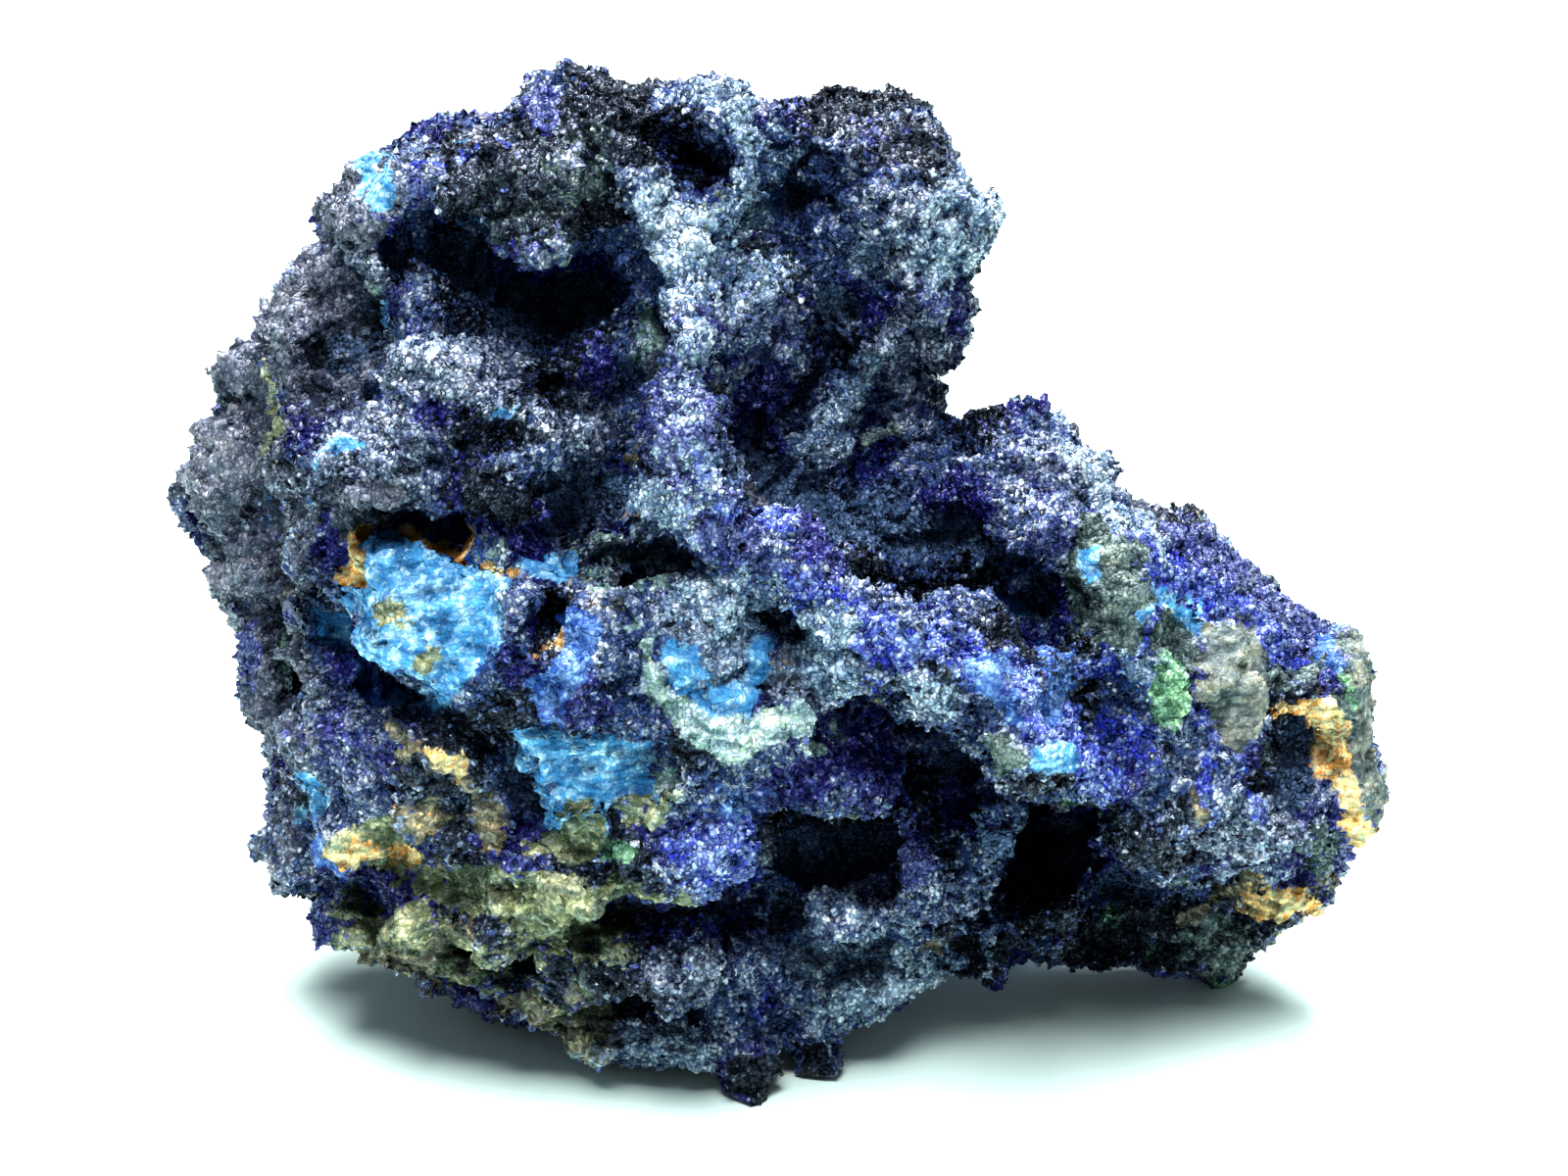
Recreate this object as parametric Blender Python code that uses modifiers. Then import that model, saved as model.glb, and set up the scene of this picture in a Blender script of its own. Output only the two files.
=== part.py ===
"""Azurite specimen: one natural mass of azurite, about 75 mm across, resting on three low feet.

The mass is built up the way it grew. Rounded lumps, drawn-out ribs and angular blocks are fused
into one body, small knobs grow all over it, hollows are taken out, and two blocks are split flat.
Lengths in the tables are in millimetres. A form on the front is placed by sight: how far across
and how far up it appears from a sighting point in front of the stone, and how far back it lies. A
form on the hidden side is placed by its plain x, y and z.
"""

import math
import random

import bmesh
import bpy
from mathutils import Euler, Matrix, Vector, noise

NAME = "azurite_specimen"
MM = 0.001

# The sighting point stands before the stone and looks down on it.
SIGHT_TILT = math.radians(22.0)
SIGHT_DISTANCE = 300.0
SIGHT_MIDDLE = (-0.3, 31.2)
FRONT_FOOT_BACK = -8.0

# Moves the middle of the finished stone's box over the origin.
TO_MIDDLE = Vector((1.04, -4.14, 0.0))

# Lumps and ribs are fused through voxels of this size, then softened a few times.
FUSE_VOXEL = 0.7
FUSE_SMOOTHING = 3
CUT_SMOOTHING = 1
SKIN_VOXEL = 0.6
RIB_STEP = 0.6
LEAST_RIB_STEPS = 2

# Round knobs grow at random all over. Their centres lie below the skin by a share of their radius,
# and the skin is first taken in to leave room for them.
KNOB_COUNT = 400
KNOB_RADII = (1.0, 2.5)
KNOB_SHRINK = (0.6, 1.0)
KNOB_FLATTENING = (0.8, 1.2)
KNOB_SINK = 0.5
KNOB_SEED = 11
SKIN_SINK = 0.6

# Broad swells and fine crumbling of the skin: the size from crest to crest and the height.
WAVE_SIZE = 7.0
WAVE_HEIGHT = 1.2
CRUMB_SIZE = 1.9
CRUMB_HEIGHT = 0.8
CRUMB_ROUGHNESS = (1.0, 2.0, 2)

# How many triangles each stage is thinned out to.
MASS_TRIANGLES = 30000
HOLLOW_TRIANGLES = 4000
CUT_TRIANGLES = 30000
SKIN_TRIANGLES = 9600

# The block that trims the feet flat.
FLOOR_WIDTH = 120.0
FLOOR_DEPTH = 12.0

# An angular block runs back from its front by its depth. The fracture that splits its front flat
# goes in this deep, over an area a little wider than the block.
SHARD_DEPTH = 8.0
FRACTURE_DEPTH = 0.8
FRACTURE_SPREAD = 1.1
FRACTURE_REACH = -12.0
SHARP_ANGLE = math.radians(55.0)

STONE_COLOUR = (0.02, 0.03, 0.13, 1.0)
STONE_ROUGHNESS = 0.55

# Each row: across, up, back, then half the width, half the depth and half the height, then the roll
# in degrees as seen from the front.
BODY = (
    (-14.5, 38.0, 6.0, 17.0, 15.0, 16.0, 0),
    (-19.0, 21.5, 2.0, 11.5, 12.0, 10.5, 0),
    (-12.5, 52.0, 7.0, 12.5, 9.0, 7.5, 0),
    (-19.0, 52.0, 9.0, 8.0, 9.0, 6.5, 0),
    (5.0, 50.5, 12.0, 6.5, 7.0, 9.0, 0),
    (-1.0, 31.0, 3.0, 11.0, 11.0, 11.0, 0),
    (13.0, 33.0, 7.0, 8.0, 9.0, 7.5, 0),
    (21.0, 28.5, 6.0, 9.0, 9.0, 8.0, -25),
    (29.5, 20.5, 5.0, 6.5, 8.0, 8.0, 0),
    (22.0, 15.0, 9.0, 9.5, 7.0, 5.5, 0),
    (-2.0, 11.5, 3.0, 11.0, 8.0, 7.5, 0),
    (7.5, 12.5, 3.0, 8.0, 8.0, 6.0, 0),
    (-30.5, 36.5, 15.0, 5.5, 8.0, 12.5, 0),
    (-5.5, 56.0, 7.0, 5.5, 5.5, 5.0, 0),
    (0.0, 55.0, 13.0, 5.5, 5.5, 5.5, 0),
    (-1.0, 21.0, 4.0, 10.0, 9.0, 5.5, 0),
    (-14.5, 10.5, 3.0, 9.5, 8.0, 6.5, 0),
    (15.5, 23.0, 3.0, 8.0, 7.0, 6.0, 0),
    (14.5, 24.6, -6.5, 6.5, 5.0, 3.8, 0),
)
OUTLINE = (
    (-12.8, 61.0, 5.0, 2.3, 2.5, 2.4, 0),
    (-15.2, 60.0, 4.0, 3.0, 3.5, 2.4, 0),
    (-18.5, 58.7, 6.0, 5.0, 5.0, 2.7, 0),
    (-22.2, 57.9, 8.0, 3.6, 5.0, 2.9, 0),
    (-25.0, 54.9, 9.0, 2.6, 5.0, 3.3, 0),
    (-26.4, 52.9, 10.0, 2.6, 5.0, 3.4, 0),
    (-27.3, 50.6, 10.0, 2.8, 5.0, 3.6, 0),
    (-29.2, 48.2, 11.0, 2.9, 5.0, 3.4, 0),
    (-31.0, 45.7, 12.0, 2.9, 5.0, 3.6, 0),
    (-33.4, 43.4, 15.0, 2.5, 4.0, 3.4, 0),
    (-34.6, 39.6, 16.0, 2.4, 5.0, 4.4, 0),
    (-35.0, 36.3, 17.0, 2.4, 5.0, 4.0, 0),
    (-33.8, 33.4, 16.0, 2.6, 5.0, 3.4, 0),
    (-32.0, 30.0, 14.0, 2.6, 6.0, 4.0, 0),
    (-31.4, 26.4, 12.0, 2.6, 6.0, 4.2, 0),
    (-31.0, 23.4, 10.0, 2.6, 5.0, 3.6, 0),
    (-30.2, 19.4, 6.0, 2.4, 5.0, 3.6, 0),
    (-29.3, 15.8, 3.0, 2.4, 5.0, 3.2, 0),
    (-28.2, 13.2, 1.0, 2.3, 4.0, 2.4, 0),
    (-9.5, 60.2, 4.0, 3.0, 4.0, 2.4, 0),
    (-6.5, 60.9, 3.0, 3.2, 4.0, 2.4, 0),
    (-4.2, 60.9, 2.0, 2.4, 4.0, 2.2, 0),
)
LEFT_LEDGES = (
    (-15.5, 56.0, 0.5, 5.0, 6.0, 3.8, 0),
    (-14.7, 53.0, -2.0, 3.9, 5.0, 2.6, 8),
    (-22.5, 56.4, 3.5, 3.6, 6.0, 3.2, 0),
    (-24.3, 53.2, 3.0, 3.4, 5.0, 2.8, 0),
    (-20.0, 56.5, 1.5, 3.8, 5.0, 2.6, 0),
    (-11.0, 58.0, 0.5, 3.8, 5.0, 3.6, 0),
    (-12.5, 55.0, -1.5, 3.0, 4.0, 2.6, 0),
    (-23.0, 49.0, -1.0, 2.8, 3.4, 2.2, 0),
    (-20.6, 45.0, -5.5, 4.6, 4.6, 2.4, 4),
    (-17.2, 44.8, -5.5, 3.6, 4.4, 2.2, -6),
    (-12.2, 45.0, -3.5, 3.6, 4.0, 2.8, 0),
    (-25.2, 39.4, -6.5, 4.6, 5.5, 2.6, 12),
    (-27.3, 37.6, -4.5, 2.8, 5.0, 2.8, 0),
    (-17.2, 39.2, -7.5, 5.8, 5.0, 3.2, -6),
    (-19.6, 41.0, -7.5, 3.8, 4.0, 2.2, 0),
    (-28.4, 33.6, -4.5, 2.6, 5.0, 3.6, 0),
    (-29.6, 40.4, 1.0, 2.4, 6.0, 4.4, 0),
    (-30.0, 45.2, 5.0, 2.6, 6.0, 3.6, 0),
    (-30.0, 30.0, -1.0, 1.9, 3.0, 2.6, 0),
    (-30.4, 26.6, -1.0, 1.9, 3.0, 2.8, 0),
    (-28.0, 24.4, -5.5, 2.7, 4.0, 2.6, 0),
    (-25.3, 23.2, -7.5, 2.5, 3.5, 2.4, 0),
    (-27.5, 20.8, -6.5, 2.8, 4.0, 2.6, 0),
    (-29.8, 20.8, -2.0, 2.0, 4.0, 2.8, 0),
    (-23.0, 21.4, -9.0, 3.2, 4.0, 2.4, 0),
    (-19.8, 21.2, -10.5, 3.8, 4.0, 2.6, 0),
)
LEFT_FOOTING = (
    (-22.2, 17.4, -9.5, 3.4, 4.0, 2.6, 0),
    (-18.3, 16.6, -10.5, 3.0, 3.6, 2.6, 0),
    (-26.2, 15.8, -6.5, 2.8, 3.6, 2.8, 0),
    (-27.6, 11.6, -2.5, 2.2, 3.4, 2.4, 0),
    (-17.2, 11.6, -9.5, 4.8, 4.0, 2.8, 0),
    (-22.6, 12.2, -7.5, 3.6, 4.0, 2.6, 0),
    (-24.2, 9.2, -5.5, 2.9, 4.0, 2.2, 0),
    (-21.2, 8.2, -5.5, 2.9, 4.0, 2.0, 0),
    (-17.0, 6.9, -6.0, 3.8, 4.0, 2.6, 0),
    (-14.4, 5.0, -5.0, 3.8, 4.0, 1.9, 0),
    (-9.8, 3.6, -5.0, 4.6, 4.0, 1.9, 0),
    (-6.2, 3.2, -6.5, 3.2, 3.4, 1.6, 0),
    (-6.4, 8.0, -11.0, 3.5, 3.8, 3.5, 0),
    (-11.5, 8.6, -10.0, 3.4, 3.8, 2.8, 0),
    (-4.4, 15.0, -14.0, 3.4, 3.6, 3.1, 0),
    (-3.4, 19.4, -14.0, 2.8, 3.4, 2.2, 0),
    (-8.8, 16.4, -13.0, 2.8, 3.6, 2.4, 0),
    (-7.6, 18.4, -14.0, 2.4, 3.4, 2.0, 0),
    (-9.6, 13.6, -12.5, 3.6, 3.6, 2.2, 0),
    (-13.6, 13.8, -12.0, 2.8, 3.4, 2.2, 0),
)
FRONT_BLOCK = (
    (-17.0, 29.5, -12.0, 4.6, 6.0, 4.8, 0),
    (-19.0, 25.4, -12.5, 2.8, 4.4, 3.6, 0),
    (-12.5, 26.0, -13.5, 5.0, 5.5, 6.0, 0),
    (-6.5, 25.5, -14.0, 5.6, 5.0, 6.4, 0),
    (-5.4, 20.4, -14.5, 4.6, 4.4, 2.6, 14),
    (-1.0, 24.0, -13.5, 4.0, 4.0, 4.4, 0),
    (-9.4, 28.4, -14.0, 1.8, 2.4, 1.8, 0),
    (-8.0, 31.0, -13.0, 1.8, 2.4, 1.8, 0),
    (0.4, 33.4, -10.5, 4.0, 4.0, 3.0, -35),
    (7.8, 31.0, -10.5, 1.8, 2.2, 1.6, 0),
    (11.7, 30.3, -10.5, 2.0, 2.2, 1.7, 0),
    (12.9, 28.6, -11.5, 1.8, 2.2, 2.0, 0),
    (16.2, 25.6, -11.0, 2.5, 3.2, 2.5, 0),
    (6.5, 27.0, -12.0, 5.0, 4.5, 3.2, -30),
    (12.5, 23.8, -12.5, 4.6, 4.2, 2.6, -32),
    (13.0, 21.0, -16.0, 1.6, 1.8, 1.6, 0),
    (17.1, 19.8, -13.0, 3.0, 3.2, 2.4, -20),
    (18.9, 18.2, -12.5, 1.9, 2.6, 1.6, 0),
    (0.6, 20.6, -11.5, 3.4, 3.6, 3.2, 0),
    (4.2, 19.6, -11.5, 2.8, 3.6, 2.8, 0),
)
RIGHT_MASS = (
    (1.6, 59.3, 9.0, 3.4, 5.0, 2.4, 0),
    (4.6, 59.8, 11.0, 4.4, 5.0, 2.5, 0),
    (7.6, 58.8, 11.0, 3.0, 5.0, 2.5, 0),
    (8.9, 57.2, 10.0, 2.2, 4.0, 3.0, 0),
    (4.2, 57.0, 7.0, 4.2, 5.0, 3.6, 0),
    (7.6, 54.8, 6.5, 3.8, 5.0, 4.0, 0),
    (9.6, 53.8, 8.0, 2.8, 4.0, 3.2, 0),
    (11.2, 53.3, 9.0, 1.8, 3.0, 2.0, 0),
    (10.2, 50.8, 9.0, 2.4, 4.0, 2.8, 0),
    (7.8, 50.4, 7.0, 3.6, 5.0, 4.2, 0),
    (4.4, 52.4, 6.0, 3.6, 4.0, 3.0, 0),
    (8.6, 47.4, 9.0, 2.6, 4.0, 2.4, 0),
    (9.6, 46.4, 9.5, 1.7, 3.0, 1.5, 0),
    (4.5, 47.4, 7.0, 4.4, 5.0, 4.2, 0),
    (1.4, 49.6, 5.0, 3.0, 4.0, 3.6, 0),
    (7.0, 43.8, 10.0, 2.8, 5.0, 3.4, 0),
    (6.8, 41.4, 11.0, 3.6, 5.0, 3.0, 0),
    (-1.2, 47.4, 3.0, 3.2, 4.0, 4.6, 0),
    (-3.8, 49.2, -1.0, 3.4, 4.4, 4.4, 0),
    (-5.2, 46.6, -3.0, 3.0, 4.4, 4.2, 0),
    (-4.0, 53.0, 1.5, 3.0, 4.4, 3.4, 0),
    (-8.2, 53.6, -1.0, 3.0, 4.6, 3.6, 0),
    (-9.6, 50.8, -1.0, 2.2, 4.0, 2.8, 0),
    (-8.2, 57.2, 0.0, 2.6, 4.0, 2.4, 0),
)
ARM = (
    (13.4, 39.9, 5.0, 3.6, 6.0, 2.6, 0),
    (16.4, 38.4, 5.0, 3.6, 6.0, 2.6, -25),
    (18.4, 37.2, 5.5, 2.2, 5.0, 2.4, 0),
    (12.0, 37.4, 2.0, 4.6, 6.0, 3.6, 0),
    (15.3, 34.5, -0.5, 4.8, 6.0, 4.4, 0),
    (19.5, 33.0, 0.5, 3.6, 6.0, 3.8, -20),
    (21.3, 30.4, -2.5, 3.8, 5.0, 4.2, -30),
    (18.9, 27.8, -5.5, 3.4, 5.0, 4.2, 0),
    (21.9, 25.0, -6.0, 3.8, 5.0, 4.6, 0),
    (24.9, 27.2, -1.5, 4.6, 6.0, 3.8, -25),
    (27.9, 24.6, -1.0, 4.6, 6.0, 4.2, -25),
    (31.2, 25.4, 1.5, 4.2, 6.0, 3.0, -15),
    (34.0, 26.2, 3.0, 2.4, 5.0, 2.6, 0),
    (33.8, 22.6, 2.5, 2.4, 6.0, 3.6, 0),
    (34.0, 19.4, 3.0, 2.5, 6.0, 3.4, 0),
    (33.2, 15.9, 4.0, 2.4, 5.0, 2.7, 0),
    (31.6, 13.7, 5.0, 2.9, 5.0, 2.4, 35),
    (28.8, 11.6, 6.0, 3.2, 5.0, 2.4, 30),
    (26.0, 10.2, 7.0, 3.6, 5.0, 2.6, 0),
    (26.3, 7.7, 8.5, 1.9, 3.0, 1.5, 0),
    (22.8, 9.4, 7.5, 3.8, 5.0, 2.2, 0),
    (18.8, 9.4, 8.0, 3.8, 4.0, 1.8, 0),
    (15.4, 10.2, 6.0, 3.2, 4.0, 2.6, 0),
    (25.5, 19.4, -4.5, 4.6, 5.0, 4.4, 0),
    (29.0, 16.8, -2.0, 4.4, 5.0, 3.6, 0),
    (22.0, 19.2, -7.0, 3.4, 4.0, 3.8, 0),
    (24.3, 15.8, -2.5, 4.6, 5.0, 2.6, 0),
    (20.7, 16.8, -4.0, 3.4, 4.0, 2.4, 0),
    (24.5, 33.3, 13.0, 2.5, 4.0, 2.2, 0),
    (28.4, 30.2, 10.0, 4.4, 5.0, 2.0, -20),
    (32.2, 28.6, 7.0, 2.9, 4.0, 1.6, -15),
)
UNDERSIDE = (
    (5.0, 6.8, -4.0, 3.4, 3.4, 2.6, -35),
    (1.6, 3.8, -4.5, 2.8, 3.0, 1.8, 0),
    (-0.3, 5.6, -5.5, 2.8, 3.0, 2.6, 0),
    (-2.7, 6.6, -6.5, 2.9, 3.0, 2.8, 0),
    (-1.6, 9.6, -7.0, 2.2, 2.6, 2.2, 0),
    (3.0, 10.9, -9.0, 2.6, 3.0, 2.5, 0),
    (8.1, 11.4, -7.0, 2.7, 3.0, 2.3, 0),
    (11.2, 15.8, -1.5, 3.2, 4.0, 4.4, 0),
    (16.0, 11.2, -1.0, 3.4, 4.0, 2.2, 0),
    (9.2, 16.2, -3.0, 3.4, 3.4, 4.0, 0),
    (7.6, 7.6, 0.5, 2.8, 3.0, 2.2, 0),
    (11.8, 9.8, 3.5, 3.0, 3.4, 2.0, 0),
)

# Angular blocks, each given by the corners of its front: across, up and back. The first two are
# split flat along their fronts. The last one is a leaning slab.
SPLIT_BLOCKS = (
    (
        (-28.8, 30.3, -13.0),
        (-21.5, 23.1, -16.5),
        (-17.4, 31.5, -15.5),
        (-22.5, 34.4, -12.0),
        (-25.8, 33.9, -11.8),
    ),
    (
        (-17.1, 22.8, -15.5),
        (-15.3, 15.6, -17.5),
        (-11.7, 16.2, -17.5),
        (-8.1, 19.2, -16.5),
        (-8.1, 20.6, -16.0),
        (-11.1, 22.6, -15.5),
    ),
)
LEANING_SLAB = (
    (-24.9, 23.7, -11.5),
    (-20.4, 22.8, -12.5),
    (-17.4, 21.6, -13.5),
    (-17.0, 18.4, -14.5),
    (-20.7, 19.6, -13.5),
    (-23.6, 20.8, -12.5),
)

# The hidden side: x, y and z, then half the width, depth and height, then the turn about z.
BACK = (
    (-14.0, 14.0, 30.0, 16.0, 9.0, 17.0, 10),
    (-25.0, 17.0, 24.0, 8.0, 7.0, 11.0, 0),
    (-21.0, 19.0, 40.0, 8.0, 5.5, 8.0, 0),
    (-10.0, 20.0, 45.0, 8.0, 5.0, 7.0, 0),
    (-4.0, 21.0, 32.0, 8.0, 4.5, 8.0, 0),
    (-13.0, 23.0, 25.0, 7.0, 3.6, 6.5, 0),
    (3.0, 17.0, 42.0, 7.0, 6.5, 8.0, 0),
    (6.0, 19.0, 25.0, 8.0, 5.0, 7.0, 0),
    (14.0, 15.0, 26.0, 7.0, 6.5, 6.0, 0),
    (20.0, 15.5, 19.0, 8.0, 6.0, 6.0, 0),
    (27.0, 12.0, 16.0, 6.5, 6.0, 6.0, 0),
    (3.0, 18.0, 13.0, 8.0, 5.0, 6.5, 0),
    (-8.0, 19.0, 12.0, 8.0, 5.0, 6.5, 0),
    (-19.0, 18.0, 11.0, 7.0, 5.0, 7.0, 0),
    (-21.0, 13.0, 3.4, 5.0, 5.0, 4.6, 0),
    (12.0, 15.0, 12.0, 7.0, 5.5, 5.0, 0),
    (-5.0, 9.0, 6.0, 8.0, 6.0, 4.6, 0),
    (-26.0, 12.0, 12.0, 5.0, 6.0, 5.0, 0),
    (-22.0, 25.0, 27.0, 3.6, 2.6, 3.0, 0),
    (-9.0, 26.0, 31.0, 4.2, 2.4, 2.2, 0),
    (-17.0, 24.6, 43.0, 4.0, 2.6, 2.6, 0),
    (-6.0, 25.0, 41.5, 3.4, 2.4, 2.6, 0),
    (2.5, 24.0, 36.0, 3.0, 2.4, 3.4, 0),
    (5.0, 23.4, 28.0, 3.6, 2.6, 2.4, 0),
    (-3.0, 24.4, 17.0, 4.4, 2.6, 2.4, 0),
    (-20.0, 23.0, 19.0, 3.6, 2.6, 3.0, 0),
    (15.0, 20.0, 29.0, 3.0, 2.4, 2.6, 0),
    (24.0, 19.0, 21.0, 3.4, 2.6, 2.6, 0),
    (16.0, 20.6, 14.0, 3.2, 2.4, 2.2, 0),
    (28.0, 16.0, 11.0, 2.8, 2.4, 2.4, 0),
    (3.0, 22.0, 48.0, 3.2, 2.6, 3.0, 0),
    (-26.0, 22.0, 45.0, 3.0, 2.4, 3.2, 0),
)

# Drawn-out ribs: points of across, up, back and half the thickness.
SPINE = (
    (-5.4, 51.3, -4.0, 2.6),
    (-6.0, 48.0, -8.0, 2.4),
    (-6.2, 44.4, -11.0, 2.5),
    (-6.0, 40.8, -13.0, 3.0),
    (-5.4, 37.8, -14.0, 3.6),
    (-3.6, 35.1, -15.0, 3.4),
    (-0.9, 32.7, -15.5, 3.0),
    (1.8, 30.9, -15.5, 3.0),
    (4.5, 28.8, -16.0, 3.1),
    (7.5, 27.3, -16.0, 2.9),
    (10.8, 25.2, -16.0, 2.7),
    (13.8, 22.8, -15.5, 2.7),
    (16.5, 20.4, -15.0, 2.7),
)
HOOK = (
    (-3.3, 61.0, 2.0, 1.7),
    (-2.6, 60.0, 0.5, 1.8),
    (-2.5, 57.6, -1.0, 1.8),
    (-2.9, 55.2, -2.0, 1.8),
    (-4.2, 53.1, -3.0, 1.9),
    (-6.0, 51.9, -3.5, 2.0),
    (-7.5, 52.5, -4.0, 2.2),
    (-8.5, 54.0, -3.5, 2.2),
    (-8.6, 56.0, -3.0, 1.5),
)
LEDGE_RIB = (
    (-18.2, 42.5, -9.0, 1.2),
    (-13.8, 41.7, -10.5, 1.4),
    (-11.1, 39.6, -11.5, 1.4),
    (-9.0, 37.2, -12.5, 1.6),
)
RIGHT_RIB = (
    (5.0, 44.5, 5.0, 1.2),
    (2.4, 41.4, 3.5, 1.5),
    (1.0, 38.8, 2.5, 1.5),
)
RIGHT_EDGE_RIB = (
    (8.1, 47.4, 5.0, 1.1),
    (6.0, 44.4, 5.5, 1.2),
    (4.0, 41.4, 6.0, 1.2),
)
ARM_VEIN = (
    (22.5, 33.2, 1.0, 1.2),
    (25.2, 31.0, 1.0, 1.4),
    (28.2, 28.8, 1.5, 1.3),
    (30.8, 27.4, 2.0, 1.2),
)
VIOLET_RIB = (
    (6.8, 18.0, -8.5, 1.3),
    (7.6, 15.4, -8.5, 1.6),
    (8.4, 12.9, -8.0, 1.5),
)
THIN_RIM = (
    (13.0, 18.0, -7.0, 1.3),
    (12.8, 15.0, -6.5, 1.2),
    (11.2, 12.4, -5.5, 1.2),
    (10.8, 10.4, -4.5, 1.2),
)
FANG = (
    (11.7, 9.6, 2.0, 1.4),
    (10.9, 6.9, 2.5, 0.7),
)
FRONT_FOOT = (
    (-2.4, 4.4, -7.5, 2.3),
    (-2.3, 2.0, -7.8, 2.1),
    (-2.3, 0.2, -8.0, 2.0),
)
RIBS = (
    SPINE,
    HOOK,
    LEDGE_RIB,
    RIGHT_RIB,
    RIGHT_EDGE_RIB,
    ARM_VEIN,
    VIOLET_RIB,
    THIN_RIM,
    FANG,
    FRONT_FOOT,
)

# Hollows, in the same columns as the lumps.
HOLLOWS = (
    (-19.8, 51.4, -3.0, 2.3, 6.0, 2.1, 0),
    (-15.0, 48.9, -5.0, 4.7, 8.0, 2.1, -4),
    (-23.9, 51.4, -2.0, 2.0, 3.5, 1.1, 0),
    (-26.4, 46.6, -4.0, 1.3, 3.0, 1.8, 40),
    (-7.8, 47.1, -9.0, 1.2, 3.6, 1.2, 0),
    (-12.4, 36.7, -13.0, 3.6, 6.0, 2.2, 6),
    (-14.9, 29.4, -15.0, 1.4, 4.0, 1.4, 0),
    (-29.6, 29.8, -8.0, 1.3, 5.0, 2.3, 0),
    (-20.4, 18.2, -14.0, 1.2, 3.6, 1.6, -30),
    (-16.6, 19.0, -14.0, 1.1, 3.6, 2.8, 20),
    (-18.0, 42.4, -11.5, 3.6, 2.4, 1.0, -4),
    (-1.6, 38.4, -6.0, 2.4, 8.0, 2.1, 0),
    (4.0, 36.4, -5.0, 5.0, 8.0, 2.0, -14),
    (10.0, 33.6, -7.0, 4.5, 5.0, 1.6, -12),
    (15.0, 30.2, -9.0, 1.2, 4.0, 1.9, 0),
    (6.2, 49.4, 3.0, 1.2, 4.0, 1.0, 20),
    (7.4, 46.2, 4.0, 1.0, 3.6, 1.0, 0),
    (0.6, 53.4, 1.0, 1.1, 4.0, 1.2, 0),
    (3.0, 14.8, -9.0, 3.7, 6.0, 2.2, 0),
    (-0.4, 10.6, -10.0, 1.5, 4.5, 2.2, 30),
    (10.2, 20.2, -9.0, 2.6, 6.0, 1.2, 10),
    (15.9, 15.2, -8.0, 3.0, 7.0, 2.7, -10),
    (21.0, 12.3, -3.0, 2.0, 5.0, 1.4, 0),
    (31.0, 20.2, -5.0, 1.4, 4.0, 2.9, 0),
    (23.8, 24.6, -11.0, 1.4, 2.4, 1.9, 0),
)
BACK_HOLLOWS = (
    (-8.0, 25.0, 38.0, 4.0, 5.0, 1.8, 0),
    (-18.0, 25.0, 31.0, 2.0, 4.5, 3.0, 0),
    (0.0, 26.5, 24.0, 2.0, 4.0, 3.2, 0),
    (11.0, 23.6, 19.0, 4.0, 3.4, 1.6, 0),
    (10.5, 22.0, 34.0, 3.0, 5.0, 3.0, 0),
    (-13.0, 25.0, 15.0, 3.6, 5.0, 1.8, 0),
    (-29.0, 24.0, 33.0, 2.2, 4.0, 2.2, 0),
    (20.0, 22.0, 12.0, 2.6, 3.4, 1.5, 0),
    (-6.0, 27.0, 50.0, 3.4, 4.0, 1.4, 10),
)

# Drawn-out hollows: points of across, up, back and half the width.
HOOK_HOLLOW = (
    (-9.0, 58.0, -1.5, 1.3),
    (-6.8, 58.3, -0.5, 2.0),
    (-5.2, 57.2, -0.5, 1.7),
    (-4.9, 54.8, -1.5, 1.1),
)
SLOT = (
    (-0.4, 58.4, 1.0, 1.1),
    (0.1, 56.5, 0.5, 1.5),
    (-0.5, 54.0, -0.5, 1.1),
)
CREVICE = (
    (3.2, 48.8, 2.5, 1.4),
    (2.4, 45.6, 1.5, 1.2),
    (0.4, 42.0, 0.0, 1.2),
)
HOLLOW_RIBS = (HOOK_HOLLOW, SLOT, CREVICE)


def clear_scene():
    for item in list(bpy.data.objects):
        bpy.data.objects.remove(item)


def new_collection(name):
    collection = bpy.data.collections.new(name)
    bpy.context.scene.collection.children.link(collection)
    return collection


def sighted(across, up, back):
    """The point, in millimetres, that appears this far across and up and lies this far back."""
    right = Vector((1.0, 0.0, 0.0))
    rise = Vector((0.0, math.sin(SIGHT_TILT), math.cos(SIGHT_TILT)))
    towards = Vector((0.0, -math.cos(SIGHT_TILT), math.sin(SIGHT_TILT)))
    foot = Vector((0.0, FRONT_FOOT_BACK, 0.0))
    middle = foot + right * SIGHT_MIDDLE[0] + rise * SIGHT_MIDDLE[1]
    eye = middle + towards * SIGHT_DISTANCE
    seen = foot + right * across + rise * up
    share = (back - eye.y) / (seen.y - eye.y)
    return eye + (seen - eye) * share


def make_ball():
    """Makes the mesh that every lump starts from: a ball of radius one."""
    mesh = bmesh.new()
    bmesh.ops.create_icosphere(mesh, subdivisions=3, radius=1.0)
    mesh.to_mesh(bpy.data.meshes.new("ball"))
    mesh.free()


def add_ball(mesh, centre, halves, turn):
    """One rounded lump with these half sizes, turned, in a bmesh."""
    stretch = Matrix.Diagonal((*halves, 1.0))
    data = bpy.data.meshes["ball"].copy()
    data.transform(Matrix.Translation(centre) @ turn.to_matrix().to_4x4() @ stretch)
    mesh.from_mesh(data)
    bpy.data.meshes.remove(data)


def add_sighted_lumps(mesh, rows):
    for across, up, back, wide, deep, high, roll in rows:
        turn = Euler((0.0, -math.radians(roll), 0.0))
        add_ball(mesh, sighted(across, up, back), (wide, deep, high), turn)


def add_plain_lumps(mesh, rows):
    for x, y, z, wide, deep, high, turned in rows:
        turn = Euler((0.0, 0.0, math.radians(turned)))
        add_ball(mesh, Vector((x, y, z)), (wide, deep, high), turn)


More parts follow.
